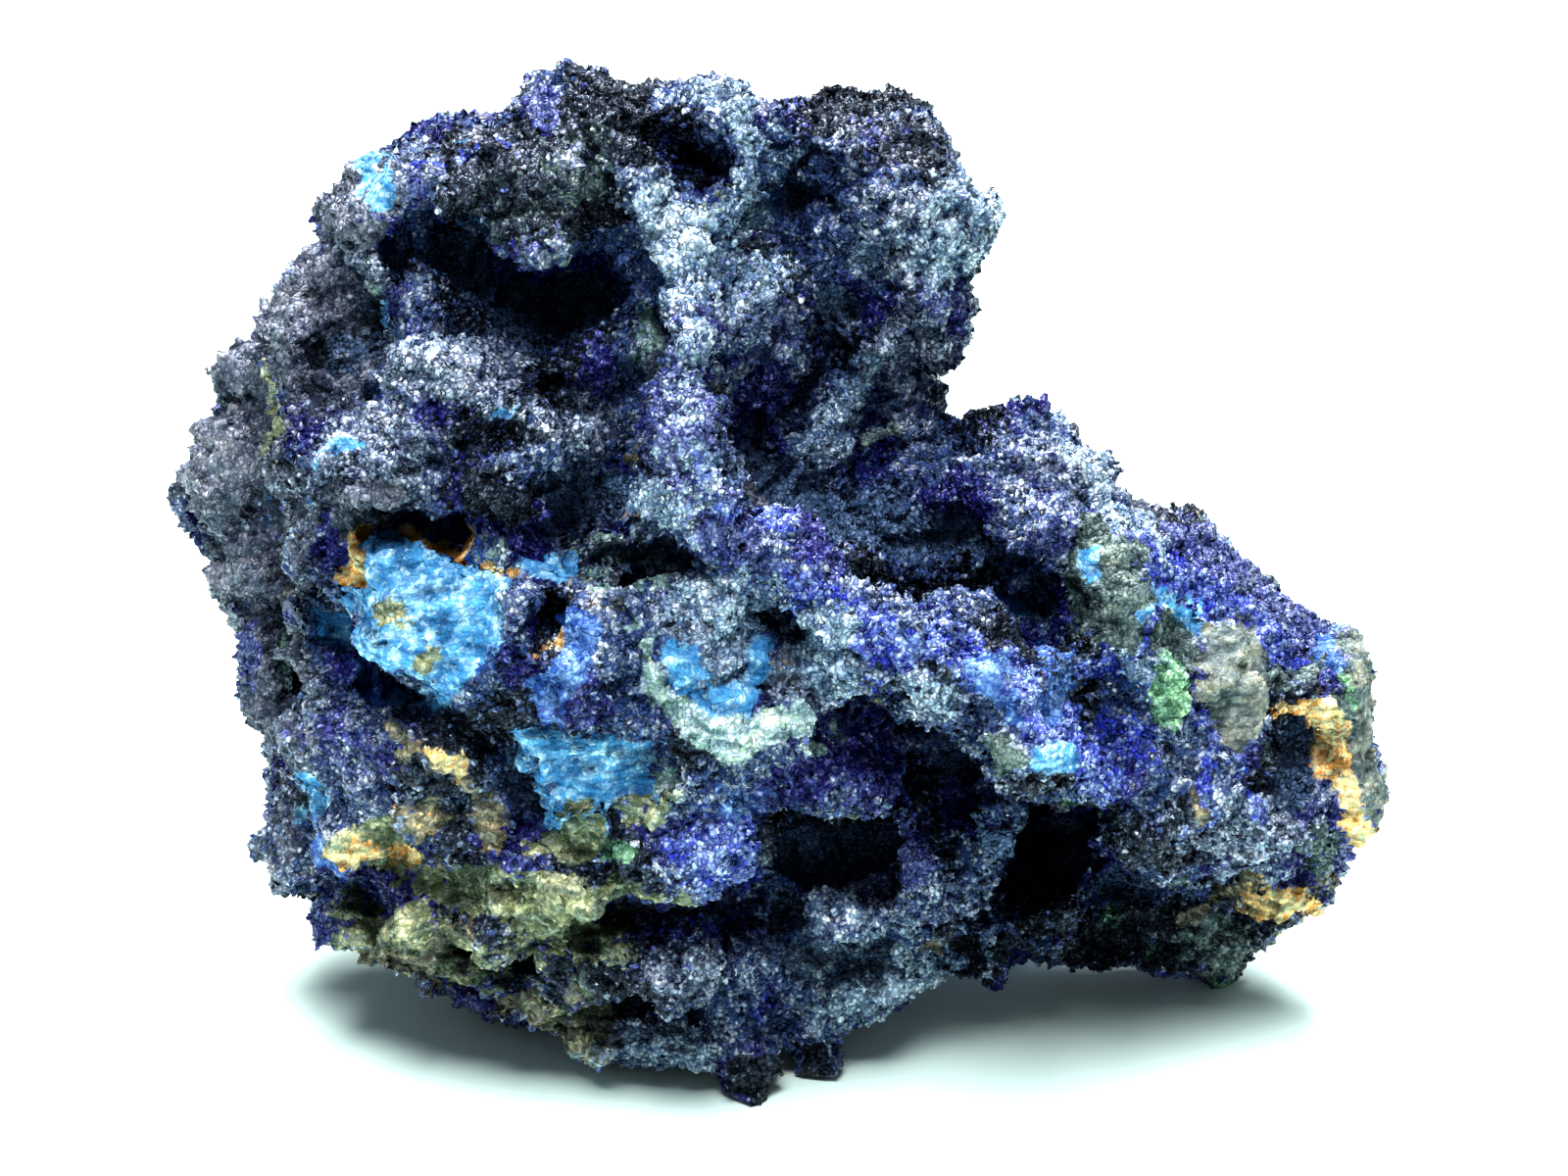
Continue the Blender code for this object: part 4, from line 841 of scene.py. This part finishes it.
def raise_relief(skin, points, shares, seen, settings):
    """Cuts lobes, knobs, pimples and chips into the skin.

    Returns how high each point stands, and how much painted glint a split face gets there.
    """
    lobes = lobe_relief(points, seen)
    knobs = knob_relief(points, settings.knob_size / MM)
    pimples = knob_relief(points + HIDDEN_OFFSET, settings.pimple_size / MM)
    chips = chip_relief(points, CHIP_SIZE)[0]
    depth = (1.0 - knobs) * settings.knob_height + (1.0 - pimples) * settings.pimple_height
    depth = depth / MM + (0.5 - chips) * CHIP_HEIGHT
    split = np.clip(shares["sky"] + shares["clay"] + shares["azure"] * AZURE_SPLIT, 0.0, 1.0)
    split *= FRACTURE_EVENNESS
    flakes, flake_rim_glints = chip_relief(points, SPLIT_CHIP_SIZE)
    depth = depth * (1.0 - split) + (1.0 - flakes) * SPLIT_CHIP_HEIGHT * split
    blocky = sum(shares[name] * share for name, share in BLOCKY.items())
    depth += (0.5 - flakes) * BLOCK_HEIGHT * blocky
    depth += (1.0 - lobes) * LOBE_HEIGHT + shares["hollow"] * HOLLOW_DEPTH - OUTWARD
    level = steps_between(points[:, 2], FLAT_LOWEST, FLAT_HIGHEST)
    normals = mesh_array(skin.vertex_normals, "vector", 3)
    shaken = np.random.default_rng(SHAKE_SEED).normal(0.0, SHAKE, points.shape)
    moved = points + (shaken - normals * depth[:, None]) * level[:, None]
    low, high = (np.array(corner) / MM for corner in CAD_BOX)
    low[2] += FARTHEST_OUT
    moved = np.clip(moved, low - FARTHEST_OUT, high + FARTHEST_OUT) * MM
    skin.vertices.foreach_set("co", moved.astype(np.float32).ravel())
    skin.update()
    fine = pimples * FINE_SHARES[0] + chips * FINE_SHARES[1]
    fine = fine + (flakes - fine) * blocky * BLOCKY_FINE
    height = sum(h * share for h, share in zip((lobes, knobs, fine), HEIGHT_SHARES))
    height = height * (1.0 - split) + flakes**FLAKE_SHADE * split
    bright = RIM_GLINT_LOWEST + (1.0 - RIM_GLINT_LOWEST) * flake_rim_glints
    return height, 1.0 - split + bright * split


def skin_piece(name, whole, chosen):
    """The chosen faces of the whole skin as a piece of its own, with its values."""
    faces = four_corners(whole)[chosen]
    kept, corners = np.unique(faces, return_inverse=True)
    points = mesh_array(whole.vertices, "co", 3)[kept]
    mesh = mesh_of(name, points, corners.ravel(), np.full(len(faces), 4))
    for value_name in (*LAYERS, *SKIN_VALUES):
        write_attribute(mesh, value_name, read_attribute(whole, value_name)[kept])
    piece = placed(name, mesh)
    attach(piece, BODY)
    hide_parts(NODE)
    return piece


def build_skin(settings):
    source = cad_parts[NODE]
    tree = BVHTree.FromPolygons(
        [vertex.co / MM for vertex in source.data.vertices],
        [tuple(face.vertices) for face in source.data.polygons],
    )
    skin = fine_skin(source, settings)
    points = mesh_array(skin.vertices, "co", 3).astype(np.float64) / MM
    seen = seen_from_front(points, tree)
    cover = mineral_cover(points, seen)
    shares = top_layer(cover)
    normals = mesh_array(skin.vertex_normals, "vector", 3).astype(np.float64)
    edges = mesh_array(skin.edges, "vertices", 2, np.int32)
    dark = painted_occlusion_shade(points, normals, edges, tree)
    height, painted_split_glint = raise_relief(skin, points, shares, seen, settings)
    # Painted glint: more on the tops of the relief and on the rims of split flakes, less in shelter.
    lift = (CRACK_GLINT + (TOP_GLINT - CRACK_GLINT) * height) * painted_split_glint
    for name in LAYERS:
        write_attribute(skin, name, cover[name])
    glint = np.clip(mixed(shares, GLINT) * lift * (1.0 - dark), LEAST_GLINT, MOST_GLINT)
    write_attribute(skin, "glint", glint)
    write_attribute(skin, "chalk", mixed(shares, CHALK))
    # Painted shade: the tone is darker where the stone shelters a point and in the creases.
    write_attribute(skin, "tone", (1.0 - dark) * (1.0 - CREASE_PAINTED_SHADE * (1.0 - height)))
    across = mesh_array(skin.vertices, "co", 3)[four_corners(skin)].mean(1)[:, 0] / MM
    cuts = np.arange(1, len(SKIN_PIECES)) / len(SKIN_PIECES)
    part = np.searchsorted(np.quantile(across, cuts), across)
    material = mineral_material("azurite skin", settings, SKIN_BUMP)
    for index, name in enumerate(SKIN_PIECES):
        skin_piece(name, skin, part == index).data.materials.append(material)


# The crystals --------------------------------------------------------------------------------


def crystal_places(mesh, names, side, settings, chance):
    """Chooses places on the skin, as thick as the named minerals lie there."""
    mesh.calc_loop_triangles()
    corners = mesh_array(mesh.loop_triangles, "vertices", 3, np.int32)
    areas = mesh_array(mesh.loop_triangles, "area", 1).astype(np.float64)
    points = mesh_array(mesh.vertices, "co", 3).astype(np.float64)
    normals = mesh_array(mesh.vertex_normals, "vector", 3).astype(np.float64)
    cover = {name: read_attribute(mesh, name) for name in LAYERS}
    shares = top_layer(cover)
    thick = sum(shares[name] * MINERALS[name][THICKNESS] for name in names)
    weight = thick[corners].mean(1) * areas
    middles = points[corners].mean(1)
    if side:
        weight = weight * ((middles[:, 0] - LEFT_OF_MIDDLE * MM) * side > 0.0)
    weight = weight * (middles[:, 2] > LOWEST_CRYSTAL * MM)
    count = int(weight.sum() / (MM * MM) * settings.crystal_cover)
    chosen = corners[chance.choice(len(corners), size=count, p=weight / weight.sum())]
    first = np.sqrt(chance.random(count))
    second = chance.random(count)
    parts = np.stack([1.0 - first, first * (1.0 - second), first * second], 1)[:, :, None]
    place = (points[chosen] * parts).sum(1)
    normal = (normals[chosen] * parts).sum(1)
    cover.update({name: read_attribute(mesh, name) for name in ("tone", "glint")})
    covers = {name: (value[chosen] * parts[:, :, 0]).sum(1) for name, value in cover.items()}
    return place, normal, covers


def unit(vectors):
    return vectors / np.linalg.norm(vectors, axis=1, keepdims=True)


def crystal_axes(normal, chance):
    """Each crystal's length, width and height directions, leaning at random from the skin."""
    up = unit(unit(normal) + chance.normal(0.0, CRYSTAL_LEAN, normal.shape))
    other = np.where(np.abs(up[:, 2:3]) > NEARLY_UPRIGHT, RIGHT, np.array([0.0, 0.0, 1.0]))
    flat = unit(np.cross(up, other))
    side = np.cross(up, flat)
    spin = chance.uniform(0.0, math.pi, len(up))[:, None]
    along = flat * np.cos(spin) + side * np.sin(spin)
    return along, np.cross(up, along), up


# A crystal is a roof: four corners at its foot and a ridge above them.
ROOF_FACES = np.array([(0, 1, 5, 4), (2, 3, 4, 5)])
ROOF_ENDS = np.array([(1, 2, 5), (3, 0, 4)])
ROOF_CORNERS = 6


def roof_points(place, axes, sizes, chance):
    along, across, up = axes
    long, wide, high = (value[:, None] for value in sizes)
    ridge = chance.uniform(*RIDGE_LENGTH, (len(place), 1))
    lean = chance.uniform(-RIDGE_LEAN, RIDGE_LEAN, (len(place), 1)) * wide
    foot = place - up * high * CRYSTAL_SINK
    top = foot + up * high * (1.0 + CRYSTAL_SINK) + across * lean
    half_long = along * long / 2
    half_wide = across * wide / 2
    base = [foot + half_long * x + half_wide * y for x, y in ((-1, -1), (1, -1), (1, 1), (-1, 1))]
    return np.stack([*base, top - half_long * ridge, top + half_long * ridge], 1)


def roof_mesh(name, points):
    """One mesh of all the roofs, from their corners."""
    count = len(points)
    starts = np.arange(count)[:, None, None] * ROOF_CORNERS
    quads = (ROOF_FACES[None] + starts).reshape(-1, 4)
    ends = (ROOF_ENDS[None] + starts).reshape(-1, 3)
    corners = np.concatenate([quads.ravel(), ends.ravel()])
    sizes = np.concatenate([np.full(len(quads), 4), np.full(len(ends), 3)])
    mesh = mesh_of(name, points.reshape(-1, 3), corners, sizes)
    mesh.validate()
    return mesh


def grow_crystals(name, settings):
    """One piece of joined crystals of the group's minerals."""
    names, seed = GROUPS[name]
    side = {"left": -1.0, "right": 1.0}.get(name.rsplit("_", 1)[-1], 0.0)
    chance = np.random.default_rng(seed)
    skin = bpy.data.meshes[WHOLE_SKIN]
    place, normal, covers = crystal_places(skin, names, side, settings, chance)
    # Crystals take on the skin's painted shade and painted glint where they stand.
    tone = covers.pop("tone")
    share = covers.pop("glint")
    covers = {key: (chance.random(len(place)) < value) * 1.0 for key, value in covers.items()}
    shares = top_layer(covers)
    long = settings.crystal_length * chance.uniform(*CRYSTAL_SIZES, len(place))
    long *= mixed(shares, GRAIN)
    wide = long * chance.uniform(*CRYSTAL_WIDTH, len(place))
    lowered = 1.0 - CHALKY_LOWERING * mixed(shares, CHALK)
    high = long * chance.uniform(*CRYSTAL_HEIGHT, len(place)) * lowered
    axes = crystal_axes(normal, chance)
    points = roof_points(place, axes, (long, wide, high), chance)
    points[:, :, 2] = np.maximum(points[:, :, 2], 0.0)
    mesh = roof_mesh(name, points)
    glint = np.clip(share * chance.uniform(*GLINTS, len(place)), LEAST_GLINT, MOST_GLINT)
    values = {**covers, "glint": glint, "chalk": mixed(shares, CHALK)}
    values["tone"] = tone * chance.uniform(*TONES, len(place))
    for key, value in values.items():
        write_attribute(mesh, key, np.repeat(value, ROOF_CORNERS))
    mesh.materials.append(mineral_material(name.replace("_", " "), settings, CRYSTAL_BUMP))
    crystals = placed(name, mesh)
    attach(crystals, BODY)


# Materials -----------------------------------------------------------------------------------

# Noises: how many lumps lie along a metre, the detail, and what the middle of the noise is spread
# out to.
NOISE_MIDDLE = (0.3, 0.7)
CLUSTER_SHARE = 0.3
NOISES = {
    "cluster": (1100.0, 3.0, 0.0, CLUSTER_SHARE),
    "uneven": (800.0, 4.0, 0.55, 1.5),
    "roughness": (2600.0, 1.0, -0.08, 0.08),
    "floor": (60.0, 3.0, 0.0, 1.0),
}

# The edges of the minerals are speckled by a noise of this scale and detail.
SPECKLE_NOISE = (1900.0, 1.0)
SPECKLE_MIDDLE = (0.25, 0.75)
SPECKLE_RANGE = (0.12, 0.88)
SPECKLE_EDGE = 0.1

# What changes from glassy minerals to chalky ones: the painted shade in the gaps between grains,
# the roughness, the sheen, how crisp the grains are and how deep the fine bumps.
BY_CHALK = {
    "gap": (0.4, 0.85),
    "roughness": (0.28, 0.8),
    "sheen": (1.0, 0.25),
    "crisp": (1.0, 0.15),
    "bumps": (1.0, 0.5),
}

# How many grains lie along a metre, how wide the gaps between them are, how far each grain turns
# away from the skin, and how much dull and glinting grains shine.
GRAIN_SCALE = 3000.0
GRAIN_GAP = (0.02, 0.24)
FACET_TURN = 0.65
GRAIN_SHEEN = (0.15, 1.0)
SHADED_SHEEN = 0.7
CRYSTAL_IOR = 1.6
SPECULAR_TINT = (0.6, 0.72, 1.0, 1.0)

# The streaks of chalky split faces: their turn, how many to a metre each way and their strength.
FIBRE_TURN = (0.0, math.radians(35.0), 0.0)
FIBRE_SCALE = (420.0, 420.0, 2000.0)
FIBRE_NOISE = (1.0, 3.0)
FIBRE_MIDDLE = (0.32, 0.68)
FIBRE_SPREAD = 0.75

# The colours lean to blue in the painted shade.
SHADE_TINT = (0.6, 0.95, 1.4)
LIT_TINT = (1.04, 1.02, 0.98)

# The fine bumps: their scale, detail and weight against the grains' rims, the strength, and the
# depth in metres on the skin and on the crystals.
BUMP_NOISE = (1500.0, 4.0)
BUMP_WEIGHT = 2.0
BUMP_STRENGTH = 0.8
SKIN_BUMP = 0.00025
CRYSTAL_BUMP = 0.00012

FLOOR_SHADES = ((0.61, 0.80, 0.76), (0.64, 0.83, 0.79))
FLOOR_ROUGHNESS = 0.75


def add_node(tree, kind, inputs=None, **settings):
    """A node with its settings. Each of its inputs is given a socket or a plain value."""
    node = tree.nodes.new(kind)
    for key, value in settings.items():
        setattr(node, key, value)
    for key, value in (inputs or {}).items():
        if isinstance(value, bpy.types.NodeSocket):
            tree.links.new(value, node.inputs[key])
        else:
            node.inputs[key].default_value = value
    return node


def attribute_value(tree, name):
    return add_node(tree, "ShaderNodeAttribute", attribute_name=name).outputs["Fac"]


def mapped(tree, value, low, high, start, end):
    """A Map Range from low-high to start-end."""
    inputs = {"Value": value, "From Min": low, "From Max": high, "To Min": start, "To Max": end}
    return add_node(tree, "ShaderNodeMapRange", inputs).outputs["Result"]


def calculated(tree, operation, first, second):
    inputs = {0: first, 1: second}
    return add_node(tree, "ShaderNodeMath", inputs, operation=operation).outputs["Value"]


def product(tree, first, *others):
    """Multiplies values. The first is a socket, and the others are sockets or numbers."""
    for other in others:
        first = calculated(tree, "MULTIPLY", first, other)
    return first


def calculated_vector(tree, operation, inputs):
    return add_node(tree, "ShaderNodeVectorMath", inputs, operation=operation).outputs["Vector"]


def mixed_colour(tree, share, first, second):
    """Mixes two colours, each a socket or a plain colour."""
    inputs = {"Factor": share}
    for key, value in ((6, first), (7, second)):
        inputs[key] = value if isinstance(value, bpy.types.NodeSocket) else (*value, 1.0)
    return add_node(tree, "ShaderNodeMix", inputs, data_type="RGBA").outputs[2]


def object_place(tree):
    return add_node(tree, "ShaderNodeTexCoord").outputs["Object"]


def noise_value(tree, scale, detail, place=None):
    inputs = {"Vector": place or object_place(tree), "Scale": scale, "Detail": detail}
    return add_node(tree, "ShaderNodeTexNoise", inputs).outputs["Fac"]


def spread_noise(tree, name):
    """One of the table's noises, spread out as the table says."""
    scale, detail, start, end = NOISES[name]
    return mapped(tree, noise_value(tree, scale, detail), *NOISE_MIDDLE, start, end)


def fibre_value(tree):
    """Long soft streaks, as on split faces."""
    inputs = {"Vector": object_place(tree), "Rotation": FIBRE_TURN, "Scale": FIBRE_SCALE}
    turned = add_node(tree, "ShaderNodeMapping", inputs).outputs["Vector"]
    return mapped(tree, noise_value(tree, *FIBRE_NOISE, turned), *FIBRE_MIDDLE, -1.0, 1.0)


def grains(tree, feature):
    """A pattern of small cells that fills the stone."""
    inputs = {"Vector": object_place(tree), "Scale": GRAIN_SCALE}
    return add_node(tree, "ShaderNodeTexVoronoi", inputs, feature=feature)


def grain_value(tree):
    """A different number between 0 and 1 for each small grain of the stone."""
    inputs = {"Color": grains(tree, "F1").outputs["Color"]}
    return add_node(tree, "ShaderNodeSeparateColor", inputs).outputs["Red"]


def faceted(tree, normal, crisp):
    """The normal, turned by a different amount for each small grain."""
    colour = grains(tree, "F1").outputs["Color"]
    turn = {0: colour, 1: (FACET_TURN * 2.0,) * 3, 2: (-FACET_TURN,) * 3}
    turn = calculated_vector(tree, "MULTIPLY_ADD", turn)
    share = calculated_vector(tree, "SCALE", {0: turn, "Scale": crisp})
    total = calculated_vector(tree, "ADD", {0: normal, 1: share})
    return calculated_vector(tree, "NORMALIZE", {0: total})


def mineral_colour(tree, settings):
    """The colour with its painted glints, before the painted shade, and how far each grain glints.
    """
    speckle = noise_value(tree, *SPECKLE_NOISE)
    speckle = mapped(tree, speckle, *SPECKLE_MIDDLE, *SPECKLE_RANGE)
    low = calculated(tree, "SUBTRACT", speckle, SPECKLE_EDGE)
    high = calculated(tree, "ADD", speckle, SPECKLE_EDGE)
    deep = tuple(settings.navy_deep)
    light = tuple(settings.navy_light)
    for layer in LAYERS:
        share = mapped(tree, attribute_value(tree, layer), low, high, 0.0, 1.0)
        deep = mixed_colour(tree, share, deep, tuple(getattr(settings, layer + "_deep")))
        light = mixed_colour(tree, share, light, tuple(getattr(settings, layer + "_light")))
    # Painted glints: glinting grains are mixed towards the lighter glint colour.
    share = attribute_value(tree, "glint")
    dullness = calculated(tree, "DIVIDE", calculated(tree, "SUBTRACT", 1.0, share), share)
    alone = mapped(tree, grain_value(tree), 0.0, 1.0, 0.0, 1.0 - CLUSTER_SHARE)
    chance = calculated(tree, "ADD", spread_noise(tree, "cluster"), alone)
    glint = calculated(tree, "POWER", chance, dullness)
    return mixed_colour(tree, glint, deep, light), glint


def mineral_material(name, settings, bump_depth):
    """The stone's minerals, each in its own colour, with painted glints and painted shade."""
    material = bpy.data.materials.new(name)
    material.use_nodes = True
    tree = material.node_tree
    shader = tree.nodes["Principled BSDF"]
    chalk = attribute_value(tree, "chalk")
    by_chalk = {key: mapped(tree, chalk, 0.0, 1.0, *ends) for key, ends in BY_CHALK.items()}
    colour, glint = mineral_colour(tree, settings)
    fibre = product(tree, fibre_value(tree), chalk, FIBRE_SPREAD)
    fibre = calculated(tree, "ADD", fibre, 1.0)
    # Painted shade: the gaps between grains are darker, the more so on glassy minerals.
    rim = grains(tree, "DISTANCE_TO_EDGE").outputs["Distance"]
    body = mapped(tree, rim, *GRAIN_GAP, 0.0, 1.0)
    rise = product(tree, body, calculated(tree, "SUBTRACT", 1.0, by_chalk["gap"]))
    gap = calculated(tree, "ADD", by_chalk["gap"], rise)
    # Painted shade: the tone darkens the colour where the stone shelters it and in the creases.
    shade = spread_noise(tree, "uneven")
    shade = product(tree, shade, attribute_value(tree, "tone"), fibre, gap)
    colour = calculated_vector(tree, "SCALE", {0: colour, "Scale": shade})
    tint = mixed_colour(tree, shade, SHADE_TINT, LIT_TINT)
    colour = calculated_vector(tree, "MULTIPLY", {0: colour, 1: tint})
    tree.links.new(colour, shader.inputs["Base Color"])
    rough = calculated(tree, "ADD", by_chalk["roughness"], spread_noise(tree, "roughness"))
    tree.links.new(rough, shader.inputs["Roughness"])
    sheen = mapped(tree, glint, 0.0, 1.0, *GRAIN_SHEEN)
    lit = mapped(tree, shade, 0.0, SHADED_SHEEN, 0.0, 1.0)
    sheen = product(tree, sheen, lit, by_chalk["sheen"])
    tree.links.new(sheen, shader.inputs["Specular IOR Level"])
    shader.inputs["IOR"].default_value = CRYSTAL_IOR
    shader.inputs["Specular Tint"].default_value = SPECULAR_TINT
    bumps = product(tree, noise_value(tree, *BUMP_NOISE), BUMP_WEIGHT, by_chalk["bumps"])
    height = calculated(tree, "ADD", bumps, product(tree, body, by_chalk["crisp"]))
    inputs = {"Strength": BUMP_STRENGTH, "Distance": bump_depth, "Height": height}
    bump = add_node(tree, "ShaderNodeBump", inputs).outputs["Normal"]
    tree.links.new(faceted(tree, bump, by_chalk["crisp"]), shader.inputs["Normal"])
    return material


def floor_material():
    material = bpy.data.materials.new("studio floor")
    material.use_nodes = True
    tree = material.node_tree
    shader = tree.nodes["Principled BSDF"]
    shader.inputs["Roughness"].default_value = FLOOR_ROUGHNESS
    colour = mixed_colour(tree, spread_noise(tree, "floor"), *FLOOR_SHADES)
    tree.links.new(colour, shader.inputs["Base Color"])
    return material


# The studio ----------------------------------------------------------------------------------

# Lengths here are in metres. Each lamp has its place, its size and its power in watts.
FLOOR_SIZE = 1.3
LAMPS = {
    "overhead_softbox": ((0.03, 0.3, 0.72), (0.38, 0.38), 27.5),
    "front_fill": ((-0.06, -0.36, 0.75), (0.34, 0.34), 16.0),
}
LAMP_TARGET = (0.0, 0.0, 0.02)
WORLD_LIGHT = (0.9, 0.96, 1.0)
WORLD_STRENGTH = 0.27

# How many millimetres the camera sees across at the distance of the sighting board.
CAMERA_VIEW = 96.0
CAMERA_SENSOR = 36.0
CAMERA_NEAR = 0.01


def build_floor():
    mesh = bpy.data.meshes.new("studio_floor")
    half = FLOOR_SIZE / 2
    corners = [(-half, -half, 0.0), (half, -half, 0.0), (half, half, 0.0), (-half, half, 0.0)]
    mesh.from_pydata(corners, [], [(0, 1, 2, 3)])
    mesh.materials.append(floor_material())
    floor = placed("studio_floor", mesh)


def aimed(place, target):
    direction = Vector(target) - Vector(place)
    turn = direction.to_track_quat("-Z", "Y").to_matrix().to_4x4()
    return Matrix.Translation(place) @ turn


def build_lamps():
    for name, (place, size, power) in LAMPS.items():
        lamp = bpy.data.lights.new(name, "AREA")
        lamp.shape = "RECTANGLE"
        lamp.size, lamp.size_y = size
        lamp.energy = power
        placed(name, lamp).matrix_world = aimed(place, LAMP_TARGET)


def build_world():
    world = bpy.data.worlds.new("studio")
    world.use_nodes = True
    background = world.node_tree.nodes["Background"]
    background.inputs["Color"].default_value = (*WORLD_LIGHT, 1.0)
    background.inputs["Strength"].default_value = WORLD_STRENGTH
    bpy.context.scene.world = world


def build_camera():
    camera = bpy.data.cameras.new("camera")
    camera.sensor_width = CAMERA_SENSOR
    camera.lens = CAMERA_SENSOR * SIGHT_DISTANCE / CAMERA_VIEW
    camera.clip_start = CAMERA_NEAR
    holder = placed("camera", camera)
    eye = (EYE + TO_MIDDLE) * MM
    target = (BOARD_MIDDLE + TO_MIDDLE) * MM
    holder.matrix_world = aimed(eye.tolist(), target.tolist())
    bpy.context.scene.camera = holder


# Operators -----------------------------------------------------------------------------------


class AZURITE_OT_skin(bpy.types.Operator):
    """Builds the stone's skin and says which mineral is where on it"""

    bl_idname = "azurite.build_skin"
    bl_label = "Build Skin"

    def execute(self, context):
        build_skin(context.scene.azurite)
        return {"FINISHED"}


class AZURITE_OT_crystals(bpy.types.Operator):
    """Grows every group of crystals on the rock's skin"""

    bl_idname = "azurite.grow_crystals"
    bl_label = "Grow Crystals"

    def execute(self, context):
        if WHOLE_SKIN not in bpy.data.meshes:
            raise RuntimeError("The crystals grow on the skin: build it first")
        for name in GROUPS:
            grow_crystals(name, context.scene.azurite)
        return {"FINISHED"}


class AZURITE_OT_studio(bpy.types.Operator):
    """Sets up the floor, the soft light and the camera"""

    bl_idname = "azurite.build_studio"
    bl_label = "Build Studio"

    def execute(self, context):
        build_floor()
        build_lamps()
        build_world()
        build_camera()
        context.scene.view_settings.view_transform = "Standard"
        return {"FINISHED"}


class AZURITE_PT_panel(bpy.types.Panel):
    """Lists the steps in their order, with the sizes and colours they use"""

    bl_idname = "AZURITE_PT_panel"
    bl_label = "Azurite Specimen"
    bl_space_type = "VIEW_3D"
    bl_region_type = "UI"
    bl_category = "Azurite"

    def draw(self, context):
        settings = context.scene.azurite
        for name in AzuriteSettings.__annotations__:
            self.layout.prop(settings, name)
        for step in STEPS:
            self.layout.operator(step.bl_idname)


STEPS = (AZURITE_OT_skin, AZURITE_OT_crystals, AZURITE_OT_studio)
CLASSES = (AzuriteSettings, *STEPS, AZURITE_PT_panel)


def register():
    for item in CLASSES:
        bpy.utils.register_class(item)
    bpy.types.Scene.azurite = bpy.props.PointerProperty(type=AzuriteSettings)


def unregister():
    del bpy.types.Scene.azurite
    for item in reversed(CLASSES):
        bpy.utils.unregister_class(item)


def main():
    register()
    bpy.ops.azurite.build_skin()
    bpy.ops.azurite.grow_crystals()
    bpy.ops.azurite.build_studio()


if __name__ == "__main__":
    main()
